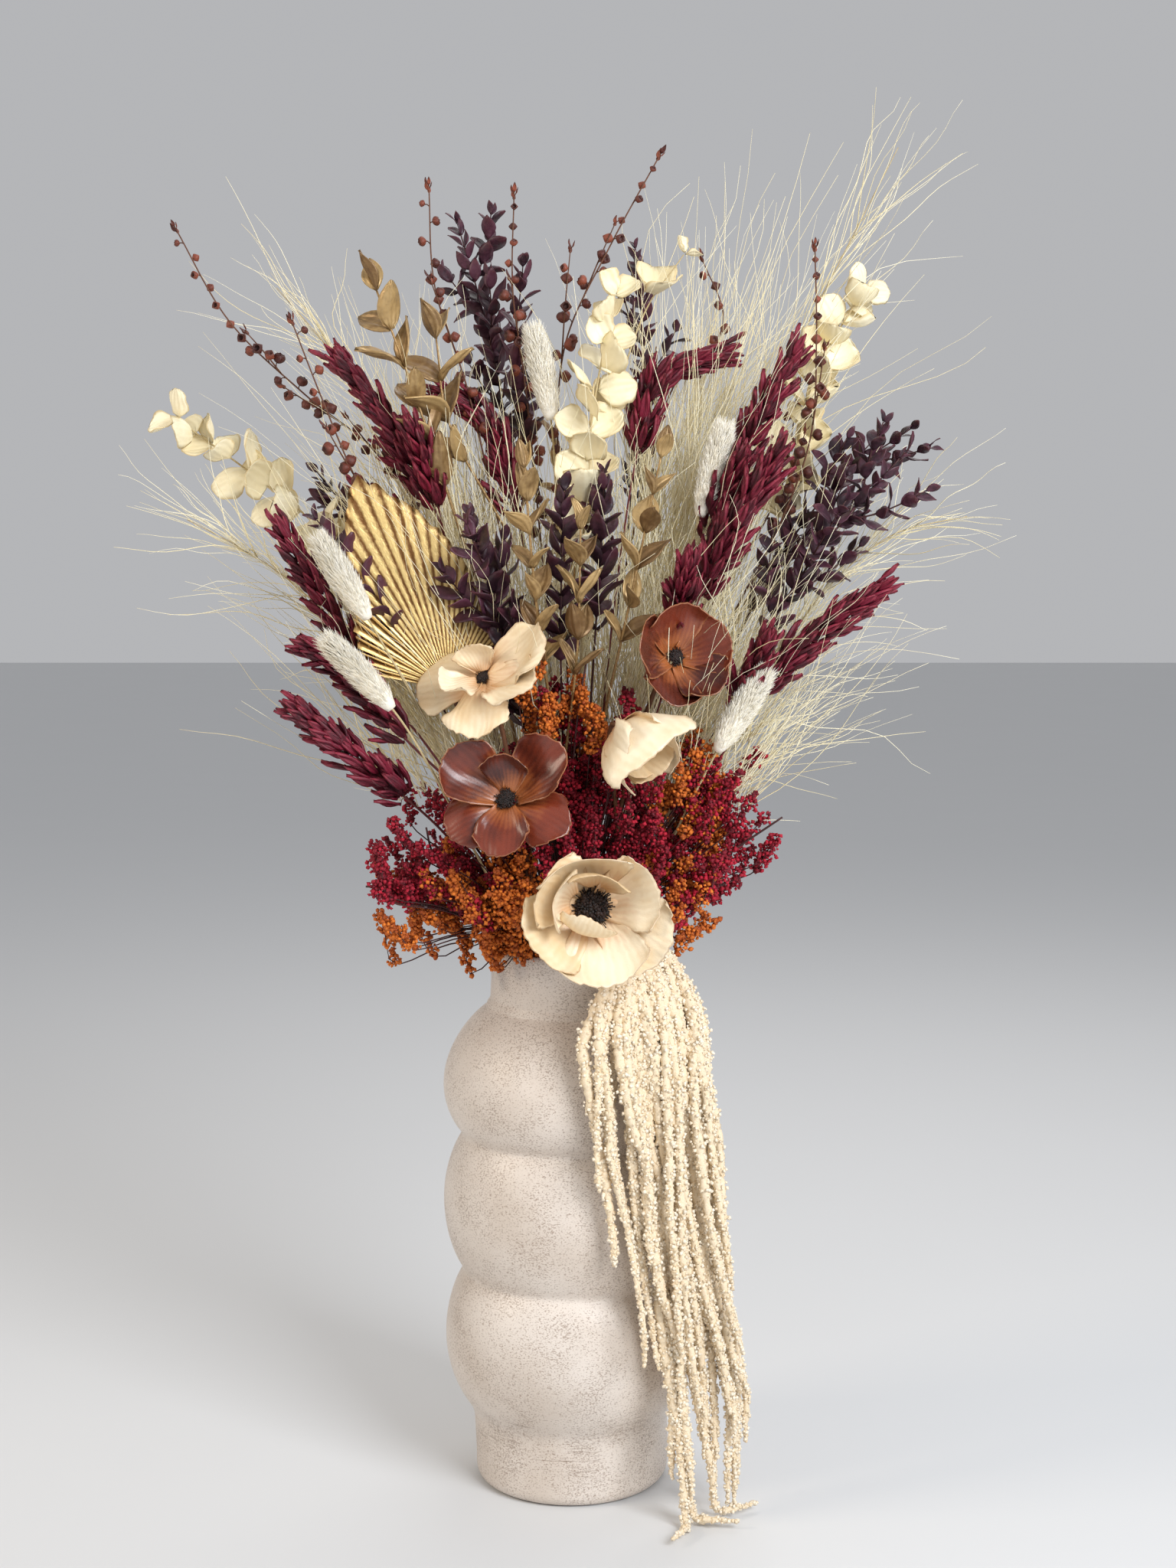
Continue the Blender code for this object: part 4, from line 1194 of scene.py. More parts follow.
def make_vase(look):
    corners, neck = vase_outline(look)
    if abs(corners[:, 0].max() - VASE_HIGH.x) > 0.001:
        raise RuntimeError("the vase's outline is not as wide as the packed vase")
    stretch = np.concatenate(((0.0,), np.cumsum(np.linalg.norm(np.diff(corners, axis=0), axis=1))))
    even = np.linspace(0, stretch[-1], int(stretch[-1] / 0.0015))
    line = np.stack([np.interp(even, stretch, corners[:, i]) for i in range(2)], axis=-1)
    soft = np.clip(1.5 - np.abs(line[:, 1] - look.foot_height) / 0.02, 0.25, 1)[1:-1, None]
    soft[line[1:-1, 1] < 0.012] = 0.1
    for _ in range(look.softness):
        line[1:-1] += ((line[2:] + line[:-2]) / 2 - line[1:-1]) * 0.5 * soft
    line[:, 1] = np.maximum(line[:, 1], 0.0)
    line[:, 0] += 0.0012 * np.exp(-(((line[:, 1] - neck - 0.001) / 0.0013) ** 2))
    slope = unit(np.gradient(line, axis=0))
    inside = line - np.stack((slope[:, 1], -slope[:, 0]), axis=-1) * look.wall
    inside = inside[(inside[:, 1] > look.wall * 1.6) & (inside[:, 0] > 0.004)][::-3]
    turn = np.linspace(0, math.pi, 7)[1:-1]
    half = look.wall / 2
    lip = np.stack((look.neck_radius - half + half * np.cos(turn), RIM_Z - half + half * np.sin(turn)),
                   axis=-1)
    floor = ((inside[-1, 0] * 0.6, look.wall * 1.1), (0.0, look.wall))
    profile = np.vstack((line, lip, inside[1:], floor))
    mesh = bpy.data.meshes.new("vase_look")
    edges = [(i, i + 1) for i in range(len(profile) - 1)]
    mesh.from_pydata([(r, 0.0, z) for r, z in profile[::-1]], edges, [])
    vase = bpy.data.objects.new("vase_look", mesh)
    bpy.context.scene.collection.objects.link(vase)
    deselect_all()
    bpy.context.view_layer.objects.active = vase
    vase.select_set(True)
    turned = vase.modifiers.new("turned wall", "SCREW")
    turned.steps = look.turns
    turned.render_steps = look.turns
    turned.use_merge_vertices = True
    turned.merge_threshold = 0.00001
    bpy.ops.object.modifier_apply(modifier=turned.name)
    points = read_points(vase.data)
    azimuth = np.arctan2(points[:, 1], points[:, 0])
    away = np.stack((np.cos(azimuth), np.sin(azimuth), np.zeros(len(points))), axis=-1)
    tall = points[:, 2]
    lump = np.sin(azimuth * 2 + tall * 31) + 0.7 * np.sin(azimuth * 3 - tall * 57 + 1.3)
    lump = lump + 0.4 * np.sin(azimuth * 5 + tall * 120)
    edge = np.clip(tall / 0.02, 0, 1) * np.clip((RIM_Z - tall) / 0.02, 0, 1)
    write_points(vase.data, points + away * (lump * edge * look.lumps)[:, None])
    bpy.ops.object.mode_set(mode="EDIT")
    bpy.ops.mesh.select_all(action="SELECT")
    bpy.ops.mesh.remove_doubles(threshold=0.00001)
    bpy.ops.mesh.normals_make_consistent(inside=False)
    bpy.ops.object.mode_set(mode="OBJECT")
    bpy.ops.object.shade_smooth()
    vase.data.materials.clear()
    vase.data.materials.append(FINISHES["stoneware"])
    settle(vase, "vase", "stoneware", "vase")


# ---- hanging amaranth ----


def make_amaranth(look):
    crumbs = [rough_crumb(seed, 0.25) for seed in (21, 22, 23)]
    for order, node in enumerate(STRANDS):
        random = np.random.default_rng(950 + order)
        rings = rings_of(node, TAIL_SIDES, HINGE_PIVOT)
        centres = np.array([ring.mean(axis=0) for ring in rings])
        outward = unit(centres * (1, 1, 0))
        sideways = np.stack((-outward[:, 1], outward[:, 0], np.zeros(len(centres))), axis=-1)
        half = np.array([np.abs((ring - c) @ s).max() for ring, c, s in zip(rings, centres, sideways)])
        cluster = Cluster()
        for u, v, ends, drag in STRANDS[node]:
            spread = np.clip(np.arange(len(centres)) / 3, 0.3, 1)
            wide = np.maximum(half, np.clip(half.max(), 0, look.strand_spread) * spread)
            line = centres + sideways * (wide * u * spread)[:, None] + outward * (0.0055 * v
                                                                                  * spread)[:, None]
            drift = np.sin(np.linspace(0, random.uniform(5, 9), len(line)) + random.uniform(0, 6)) * 0.0046
            line = line + sideways * (drift * spread)[:, None]
            line = line + np.cumsum(random.normal(0, 0.0011, line.shape), axis=0) * (1, 1, 0.3)
            keep = Route(line, 6)
            line = keep.at(np.linspace(0, keep.length * min(ends, 1.0), 14))
            if ends > 1:
                below = line[-1] + np.array((0.0, 0.0, keep.length * (1 - ends)))
                line = np.vstack((line, (line[-1] + below) / 2, below))
            girth = np.hypot(line[:, 0], line[:, 1])
            clear = np.where(line[:, 2] < RIM_Z - 0.030, VASE_HIGH.x + 0.0055, 0.0)
            line[:, :2] *= (np.maximum(girth, clear) / girth)[:, None]
            if drag:
                line[-1, 2] = 0.0055
                rest = line[-1] + unit(outward[-1] + sideways[-1] * drag) * (0.012, 0.012, 0)
                tip = rest + unit(outward[-1] + sideways[-1] * drag * 2.5) * (0.016, 0.016, 0)
                line = np.vstack((line, rest, tip))
            line[:, 2] = np.maximum(line[:, 2], 0.0055)
            add_strand(cluster, Route(line, 8), crumbs, look, random)
        settle(cluster.build(node + "_look", [FINISHES["cream_amaranth"]]), "amaranth",
               "cream_amaranth", node)


def add_strand(cluster, route, crumbs, look, random):
    """One hanging strand: a lumpy core with crumbs all over it, the core and the crumbs near it painted
    darker as shade.
    """
    distance = route.spread(0.0, 0.0022)
    share = distance / route.length
    girth = look.strand_radius * random.uniform(0.70, 1.22) * (1.0 - 0.48
                                                               * share**1.5) * np.clip(share * 9, 0.35, 1)
    girth = girth * np.clip((1 - share) * 24, 0.25, 1)
    phase = random.uniform(0, 6, 3)
    lumps = np.sin(distance * 900 + phase[0]) + 0.8 * np.sin(distance * 1460 + phase[1])
    lumps = lumps + np.sin(distance * 410 + phase[2])
    girth = girth * (1 + 0.14 * lumps)
    # The core takes a low tone, towards the dark colour: painted shade under the crumbs.
    cluster.rods(route.at(distance)[None], (girth * 0.90)[None], 7, 0.35, 0)
    count = int(route.length / look.crumb_gap)
    where = random.uniform(0, route.length, count)
    turn = random.uniform(0, math.tau, count)
    out = route.outward(where, turn)
    around = np.interp(where, distance, girth)
    reach = around * random.uniform(0.62, 1.25, count)
    at = route.at(where) + out * reach[:, None]
    size = look.crumb * random.uniform(0.6, 1.25, count)
    places = standing(at, unit(random.normal(0, 1, (count, 3))), out, size)
    # Crumbs close to the core get a lower tone and the dark colour, those further out the light colour:
    # painted shade between the crumbs.
    tone = np.clip((reach / around - 0.6) * 1.4 + random.uniform(-0.15, 0.25, count), 0, 1)
    pick = random.integers(0, len(crumbs), count)
    for which, crumb in enumerate(crumbs):
        cluster.place(crumb, places[pick == which], tone[pick == which], 0)


# ---- finishes of this arrangement ----


def petal_finish(name, light, dark, base, rim, roughness, coat, bump, dryness):
    """Leathery petal skin: a base colour towards the foot, with fine ribs along it and a thin dry rim. On
    the cream petals the base is a darker tan, painted shade deep in the flower; on the copper petals it is
    their golden heart.
    """
    made = Finish(name, roughness=roughness, coat_weight=coat, coat_roughness=0.3)
    along = made.mark("along")
    across = made.mark("across")
    tone = made.mark("tone")
    cloud = made.noise(70.0, 3.0)
    grain = made.noise(900.0, 3.0)
    ribs = (across * 34.0 + cloud * 9.0).wave() * 0.5
    colour = made.mix((tone * 0.5 + cloud * 1.3 - 0.35 + ribs * 0.12).step(0.0, 1.0), dark, light)
    # Towards the petal's foot the colour goes to base: painted shade on the cream petals, the golden heart
    # on the copper petals.
    colour = made.mix((0.62 - along + (cloud - 0.5) * 0.9 + ribs * 0.10).step(0.05, 0.70) * 0.85,
                      colour, base)
    edge = (across.size() + (grain - 0.5) * 0.05).step(0.955, 0.992)
    edge = edge.larger((along + (grain - 0.5) * 0.03).step(0.975, 0.995))
    made.feed("Base Color", made.mix(edge * dryness, colour, rim))
    made.feed("Roughness", (grain - 0.5) * 0.25 + roughness)
    made.bump(ribs * 0.6 + grain * 0.5 + cloud * 0.8, bump)
    return made.done()


def spear_finish(light, dark):
    """Painted palm with a satin sheen. Its colour is bright at each pleat's ridge and brown in its valley:
    painted highlight and painted shade over the gold paint.
    """
    made = Finish("gold_spear", roughness=0.36, metallic=0.40)
    along = made.mark("along")
    ridge = made.mark("across") * 0.5 + 0.5
    grain = made.noise(330.0, 3.0, 0.6)
    cloud = made.noise(60.0, 2.0)
    # ridge is 1 on the ridges and 0 in the valleys: the colour goes from dark in the valleys, painted
    # shade, to light on the ridges, painted highlight.
    colour = made.mix((ridge + (grain - 0.5) * 0.7 + (cloud - 0.5) * 0.7).step(0.05, 0.75), dark, light)
    colour = made.mix((along + (grain - 0.5) * 0.08).step(0.955, 1.0) * 0.6, colour, dark)
    made.feed("Base Color", colour)
    made.feed("Roughness", (grain - 0.5) * 0.3 + 0.36)
    made.bump(grain + ridge * 0.4, 0.0004)
    return made.done()


def stoneware_finish(light, dark, fleck):
    """Pale satin stoneware: fine flecks all over, and brushed scratches near the foot."""
    made = Finish("stoneware", roughness=0.42, coat_weight=0.28, coat_roughness=0.28)
    height = made.height()
    cloud = made.noise(16.0, 3.0)
    grain = made.noise(2300.0, 2.0)
    flecks = made.noise(820.0, 4.0, 0.65, (1.0, 1.0, 1.6))
    patches = made.noise(40.0, 2.0)
    colour = made.mix(cloud.step(0.3, 0.7), dark, light)
    amount = (flecks + (patches - 0.5) * 0.22).step(0.51, 0.63) * 0.62
    colour = made.mix(amount, colour, fleck)
    strokes = made.noise(1.0, 4.0, 0.6, (45.0, 45.0, 1500.0)).step(0.55, 0.72)
    band = (0.095 - height).step(0.0, 0.06) * (height.step(0.006, 0.030))
    worn = strokes * band * patches.step(0.40, 0.60) * 0.75
    made.feed("Base Color", made.mix(worn, colour, fleck))
    made.feed("Roughness", (grain - 0.5) * 0.2 + amount * 0.25 + 0.42)
    made.bump(grain * 0.5 + flecks * 0.8 + worn * -0.8, 0.00025)
    return made.done()


def speckled_finish(name, light, dark, roughness, scale, bump):
    """A rough two-colour skin, for the foam and the floor."""
    made = Finish(name, roughness=roughness)
    grain = made.noise(scale, 4.0, 0.6)
    made.feed("Base Color", made.mix(grain.step(0.35, 0.65), dark, light))
    made.feed("Roughness", (grain - 0.5) * 0.2 + roughness)
    made.bump(grain, bump)
    return made.done()


FINISHES = {}


def mix_finishes(c):
    """Makes every finish from the arrangement's colours."""
    made = (
        plant_finish("brown_twig", c.brown_twig, pigment(70, 38, 26)),
        plant_finish("bead_pods", c.bead_pod, pigment(70, 26, 20), 0.55, 1200, tip=pigment(58, 24, 18)),
        plant_finish("pale_twig", c.pale_twig, pigment(160, 135, 95)),
        plant_finish("cream_leaves", c.eucalyptus, pigment(238, 224, 184), 0.5, 300,
                     edge=pigment(222, 200, 152), ribs=16.0),
        plant_finish("dark_twig", c.dark_twig, pigment(48, 22, 24)),
        plant_finish("purple_leaves", c.parvifolia, pigment(40, 20, 30), 0.48, 400,
                     tip=pigment(84, 34, 44)),
        plant_finish("oat_stalk", c.oat_stalk, pigment(70, 22, 26)),
        plant_finish("burgundy_oats", c.oat, pigment(68, 10, 24), 0.55, 700, tip=pigment(150, 50, 66),
                     ribs=14.0),
        plant_finish("gold_twig", c.gold_leaf, pigment(120, 85, 45), 0.4, metallic=0.4),
        plant_finish("gold_leaves", c.gold_leaf, c.gold_shade, 0.42, 260, ribs=12.0, metallic=0.30,
                     bump=0.0004),
        plant_finish("bunny_tails", c.bunny_tail, pigment(238, 228, 204), 0.8),
        plant_finish("feather_grass", c.grass, pigment(236, 220, 172), 0.6),
        # The crimson and orange dark colours fall on the florets deep in each spike: painted shade.
        plant_finish("crimson_sprigs", c.crimson, pigment(84, 2, 20), 0.7, 1500),
        plant_finish("orange_sprigs", c.orange, pigment(150, 62, 14), 0.7, 1500),
        plant_finish("wood_stems", c.brown_twig, pigment(84, 52, 28)),
        plant_finish("dark_heart", pigment(46, 24, 16), pigment(12, 7, 6), 0.6, 1500),
        # The amaranth's dark colour falls on the strands' cores and the crumbs close to them: painted
        # shade.
        plant_finish("cream_amaranth", c.amaranth, pigment(232, 208, 170), 0.75, 1300, bump=0.0004),
        # The cream petals' tan base colour is painted shade where the petals meet in the flower's heart.
        petal_finish("cream_petals", c.cream_petal, pigment(226, 198, 154), pigment(206, 152, 98),
                     pigment(176, 134, 86), 0.42, 0.10, 0.00022, 0.5),
        petal_finish("copper_petals", c.copper_petal, pigment(66, 24, 16), c.copper_heart,
                     pigment(170, 112, 72), 0.30, 0.30, 0.00012, 0.6),
        # The spear's light colour goes on the ridges as painted highlight, its dark colour in the valleys
        # as painted shade.
        spear_finish(c.spear, pigment(132, 88, 42)),
        stoneware_finish(c.stoneware, pigment(210, 196, 182), c.fleck),
        speckled_finish("dry_foam", pigment(96, 78, 48), pigment(52, 40, 24), 0.95, 700, 0.0008),
    )
    FINISHES.update((finish.name.removesuffix("_finish"), finish) for finish in made)


def finish_packed_nodes():
    """The foam and the amaranth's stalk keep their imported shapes, with a finish of their own."""
    for node, finish in (("foam_plug", "dry_foam"), ("amaranth_stalk", "wood_stems")):
        thing = frame["nodes"][node]
        thing.data.materials.clear()
        thing.data.materials.append(FINISHES[finish])


# ---- where things grow ----

# The spear's outline: degrees to the left of straight up, and the distance from the stem's tip.
SPEAR_OUTLINE = (
    (-75, 0.036), (-37, 0.047), (-7, 0.075), (7, 0.101), (23, 0.138), (24.5, 0.138), (38, 0.098),
    (52, 0.070), (66, 0.058), (80, 0.050),
)

# How much of each stem carries capsules.
BEADED_SHARES = {
    "bead_stem_far_left": 0.60,
    "bead_stem_left": 0.40,
    "bead_stem_upper_left": 0.30,
    "bead_stem_top": 0.42,
    "bead_stem_tall": 0.45,
    "bead_stem_right": 0.38,
}

# Twigs: where on the stem, the turn about it, the spread from it and the length.
BEAD_TWIGS = {
    "bead_stem_far_left": ((0.62, 2.9, 0.5, 0.055), (0.72, 0.2, 0.5, 0.045), (0.80, 3.6, 0.45, 0.035)),
    "bead_stem_left": ((0.66, 0.4, 0.5, 0.05), (0.78, 3.0, 0.5, 0.035)),
    "bead_stem_upper_left": ((0.80, 3.2, 0.5, 0.05),),
    "bead_stem_top": ((0.66, 0.2, 0.4, 0.07), (0.80, 3.2, 0.4, 0.05)),
    "bead_stem_tall": ((0.74, 2.9, 0.35, 0.07), (0.82, 0.2, 0.45, 0.055)),
    "bead_stem_right": ((0.66, 0.3, 0.5, 0.06), (0.78, 3.1, 0.4, 0.05)),
}

# Parvifolia: the leaf's length, how much of the branch is leafy, its twigs and their length.
PARVIFOLIA = {
    "parvifolia_top": (0.017, 0.15, 6, 0.045),
    "parvifolia_back": (0.015, 0.16, 6, 0.040),
    "parvifolia_right": (0.016, 0.15, 7, 0.055),
    "parvifolia_low_right": (0.016, 0.13, 6, 0.050),
    "parvifolia_left": (0.017, 0.13, 5, 0.030),
    "parvifolia_middle": (0.019, 0.13, 6, 0.045),
}

OAT_HEADS = {
    "oat_upper_left": 0.105,
    "oat_left": 0.100,
    "oat_low_left": 0.085,
    "oat_top_right": 0.095,
    "oat_upper_right": 0.105,
    "oat_right": 0.100,
    "oat_low_right": 0.100,
}
OAT_TWIGS = {
    "oat_upper_left": ((0.62, 1.2, 0.6, 0.09), (0.70, 3.4, 0.5, 0.07)),
    "oat_left": ((0.60, 3.0, 0.6, 0.075),),
    "oat_right": ((0.62, 2.6, 0.6, 0.07),),
    "oat_upper_right": ((0.66, 3.1, 0.5, 0.075),),
    "oat_low_right": ((0.60, 2.6, 0.6, 0.07),),
}

# Gold branches: the leaf's length, the gap between pairs, how much of the branch is leafy, its twigs.
GOLD_BRANCHES = {
    "gold_branch_left": (0.032, 0.019, 0.120, ()),
    "gold_branch_middle": (0.025, 0.017, 0.115, ()),
    "gold_branch_right": (0.025, 0.017, 0.110, ()),
    "gold_branch_back": (0.024, 0.016, 0.140, ((0.6, 0.0, 0.5, 0.06), (0.7, 3.14, 0.5, 0.05))),
}

# Grass: where its plume starts, its hairs, their spread, length and droop.
GRASS_PLUMES = {
    "grass_back": (0.25, 150, 0.34, 0.150, 0.02),
    "grass_left": (0.25, 130, 0.50, 0.120, 0.14),
    "grass_right": (0.25, 150, 0.55, 0.130, 0.30),
    "grass_tall_right": (0.25, 80, 0.34, 0.170, 0.14),
    "grass_upper_left": (0.30, 140, 0.38, 0.130, 0.08),
}

# Loose hairs: the corners of the box that they rise from, how many, their length and their fan.
GRASS_FILL = {
    "grass_back": (((-0.060, -0.010, 0.085), (0.070, 0.040, 0.195), 520, 0.195, 0.20),
                   ((-0.070, 0.040, 0.075), (0.080, 0.080, 0.155), 300, 0.190, 0.20)),
    "grass_left": (((-0.110, -0.020, 0.085), (-0.030, 0.040, 0.175), 480, 0.165, 0.24),),
    "grass_right": (((0.030, -0.035, 0.075), (0.110, 0.030, 0.165), 480, 0.155, 0.26),),
    "grass_tall_right": (((0.035, 0.010, 0.195), (0.090, 0.060, 0.275), 210, 0.225, 0.17),
                         ((0.060, 0.010, 0.215), (0.110, 0.050, 0.275), 44, 0.235, 0.14)),
    "grass_upper_left": (((-0.110, 0.010, 0.195), (-0.050, 0.060, 0.265), 200, 0.155, 0.22),),
}

# Bushes of sprigs: the centre with its height above the rim, the spread and the count.
SPRIG_BUSHES = {
    "crimson_sprig_left": (((-0.076, -0.045, 0.074), (0.040, 0.032, 0.032), 46),
                           ((-0.060, 0.045, 0.060), (0.045, 0.030, 0.040), 22)),
    "crimson_sprig_middle": (((0.040, -0.046, 0.080), (0.046, 0.034, 0.040), 84),
                             ((-0.010, -0.040, 0.095), (0.034, 0.026, 0.036), 40),
                             ((0.008, -0.045, 0.140), (0.030, 0.020, 0.026), 26),
                             ((0.000, 0.050, 0.080), (0.050, 0.025, 0.045), 24)),
    "crimson_sprig_right": (((0.096, -0.032, 0.098), (0.026, 0.026, 0.034), 30),
                            ((0.075, 0.040, 0.060), (0.040, 0.030, 0.040), 22)),
    "orange_sprig_left": (((-0.082, -0.038, 0.036), (0.044, 0.032, 0.022), 38),
                          ((-0.046, -0.060, 0.052), (0.026, 0.016, 0.022), 20),
                          ((-0.040, -0.056, 0.016), (0.020, 0.008, 0.010), 7)),
    "orange_sprig_top": (((-0.006, -0.046, 0.160), (0.026, 0.022, 0.018), 20),
                         ((0.078, -0.046, 0.108), (0.022, 0.026, 0.030), 22),
                         ((0.070, -0.048, 0.040), (0.026, 0.028, 0.026), 26),
                         ((0.030, 0.060, 0.110), (0.060, 0.020, 0.030), 16)),
}

# Further stems that rise inside a group: the points each bows through, with heights above the rim, and
# how much of it carries growth.
BEAD_EXTRAS = {
    "bead_stem_tall": ((((0.030, 0.040, 0.215), (0.060, 0.055, 0.335), (0.094, 0.058, 0.379),
                         (0.080, 0.058, 0.423)), 0.085),),
    "bead_stem_right": ((((0.080, 0.040, 0.195), (0.130, 0.070, 0.275), (0.143, 0.075, 0.345)), 0.075),),
}
EUCALYPTUS_EXTRAS = {
    "eucalyptus_middle": ((((0.016, 0.010, 0.295), (0.042, 0.020, 0.379), (0.068, 0.020, 0.419)), 0.030),),
}
PARVIFOLIA_EXTRAS = {
    "parvifolia_middle": ((((-0.004, -0.030, 0.105), (-0.006, -0.040, 0.191), (-0.004, -0.036, 0.277)),
                           0.100),
                          (((0.010, -0.020, 0.125), (0.016, -0.030, 0.215), (0.020, -0.030, 0.285)),
                           0.090)),
    "parvifolia_top": ((((-0.020, 0.040, 0.275), (-0.034, 0.050, 0.355), (-0.030, 0.050, 0.415)), 0.110),),
    "parvifolia_left": ((((-0.070, -0.020, 0.135), (-0.115, -0.030, 0.215), (-0.150, -0.030, 0.260)),
                         0.080),),
}
GOLD_EXTRAS = {
    "gold_branch_middle": ((((-0.004, -0.040, 0.115), (0.004, -0.064, 0.185), (0.006, -0.066, 0.255)),
                            0.085),),
    "gold_branch_left": ((((-0.040, 0.000, 0.255), (-0.072, -0.010, 0.315), (-0.080, -0.010, 0.367)),
                          0.075),),
}
OAT_EXTRAS = {
    "oat_upper_left": ((((-0.015, 0.010, 0.175), (-0.034, 0.016, 0.265), (-0.050, 0.018, 0.317),
                         (-0.078, 0.018, 0.337)), 0.095, 90),),
    "oat_low_left": ((((-0.060, -0.040, 0.095), (-0.100, -0.050, 0.135), (-0.130, -0.055, 0.175)),
                      0.060, 46),),
    "oat_right": ((((0.040, -0.010, 0.135), (0.080, -0.024, 0.225), (0.098, -0.028, 0.295)), 0.090, 84),),
}

# Petals of each flower: a seed, the turn, the tilt, the length, the width, the curl, the cup, the ruffle,
# how torn the rim is, how far ahead of the others the petal stands and how far its foot is from the middle.
FLOWER_PETALS = {
    "cream_flower_middle_petals": (
        (31, -14, 26, 0.044, 0.060, 1.05, 0.40, 0.030, 0.012, 0.000, 0.005),
        (32, 72, 20, 0.042, 0.048, 0.55, 0.34, 0.045, 0.014, 0.001, 0.005),
        (33, 120, 12, 0.049, 0.052, 0.45, 0.28, 0.040, 0.016, 0.000, 0.005),
        (34, 168, 14, 0.046, 0.056, 0.55, 0.30, 0.035, 0.014, 0.001, 0.005),
        (35, 238, 16, 0.044, 0.054, 0.60, 0.34, 0.045, 0.014, 0.000, 0.005),
        (36, -62, 22, 0.041, 0.050, 0.80, 0.36, 0.045, 0.016, 0.002, 0.005),
    ),
    "cream_flower_middle_inner_petals": (
        (41, 288, 42, 0.027, 0.040, 0.90, 0.50, 0.030, 0.018, 0.003, 0.0125),
        (42, 12, 46, 0.026, 0.040, 1.00, 0.50, 0.040, 0.018, 0.003, 0.0125),
        (43, 118, 58, 0.036, 0.034, 0.35, 0.95, 0.030, 0.014, 0.002, 0.0135),
        (44, 200, 60, 0.026, 0.036, 1.70, 0.40, 0.030, 0.018, 0.002, 0.0135),
    ),
    "copper_flower_left_petals": (
        (51, 300, 22, 0.042, 0.042, 0.25, 0.42, 0.030, 0.010, 0.000, 0.004),
        (52, 50, 18, 0.044, 0.044, 0.30, 0.45, 0.030, 0.012, 0.000, 0.004),
        (53, 238, 20, 0.036, 0.036, -0.50, -0.25, 0.040, 0.012, 0.000, 0.004),
        (54, 178, 22, 0.034, 0.036, -0.45, 0.35, 0.040, 0.012, 0.001, 0.004),
        (55, 115, 18, 0.038, 0.036, -0.45, -0.22, 0.040, 0.012, 0.000, 0.004),
        (56, 0, 36, 0.026, 0.030, 0.60, 0.30, 0.040, 0.016, 0.002, 0.005),
    ),
    "copper_flower_upper_right_petals": (
        (61, 350, 30, 0.034, 0.040, 0.55, 0.36, 0.030, 0.012, 0.000, 0.004),
        (62, 75, 26, 0.033, 0.038, 0.50, 0.34, 0.035, 0.012, 0.000, 0.004),
        (63, 140, 26, 0.033, 0.038, 0.45, 0.32, 0.035, 0.012, 0.000, 0.004),
        (64, 205, 24, 0.036, 0.038, 0.35, 0.30, 0.035, 0.012, 0.000, 0.004),
        (65, 280, 26, 0.038, 0.040, 0.55, 0.34, 0.035, 0.012, 0.000, 0.004),
    ),
    "cream_flower_upper_left_petals": (
        (71, 268, 8, 0.044, 0.046, -0.50, -0.20, 0.018, 0.008, 0.000, 0.003),
        (72, 172, 12, 0.038, 0.044, -0.35, -0.14, 0.040, 0.014, 0.000, 0.003),
        (73, 72, 22, 0.052, 0.042, 0.25, 0.20, 0.060, 0.016, 0.000, 0.003),
        (74, 108, 16, 0.044, 0.038, 0.15, 0.18, 0.055, 0.018, 0.001, 0.003),
        (75, 340, 50, 0.020, 0.028, 0.80, 0.40, 0.080, 0.022, 0.003, 0.004),
        (76, 215, 30, 0.026, 0.028, 0.45, 0.30, 0.060, 0.018, 0.002, 0.004),
    ),
    "cream_flower_right_petals": (
        (81, 322, 46, 0.052, 0.066, 1.15, 0.50, 0.020, 0.010, 0.000, 0.004),
        (82, 255, 44, 0.042, 0.050, 0.85, 0.40, 0.030, 0.014, 0.000, 0.004),
        (83, 58, 50, 0.042, 0.046, 0.80, 0.42, 0.035, 0.014, 0.000, 0.004),
        (84, 185, 50, 0.034, 0.046, 0.80, 0.40, 0.035, 0.014, 0.000, 0.004),
        (85, 120, 50, 0.036, 0.040, 0.75, 0.40, 0.035, 0.014, 0.001, 0.004),
    ),
}

# The heart of each flower: its radius, how far it stands ahead of the petals' centre, its filaments.
FLOWER_HEARTS = {
    "cream_flower_middle": (0.0125, 0.0050, 150),
    "copper_flower_left": (0.0070, 0.0030, 60),
    "copper_flower_upper_right": (0.0060, 0.0030, 40),
    "cream_flower_upper_left": (0.0050, 0.0020, 20),
    "cream_flower_right": (0.0060, 0.0020, 30),
}

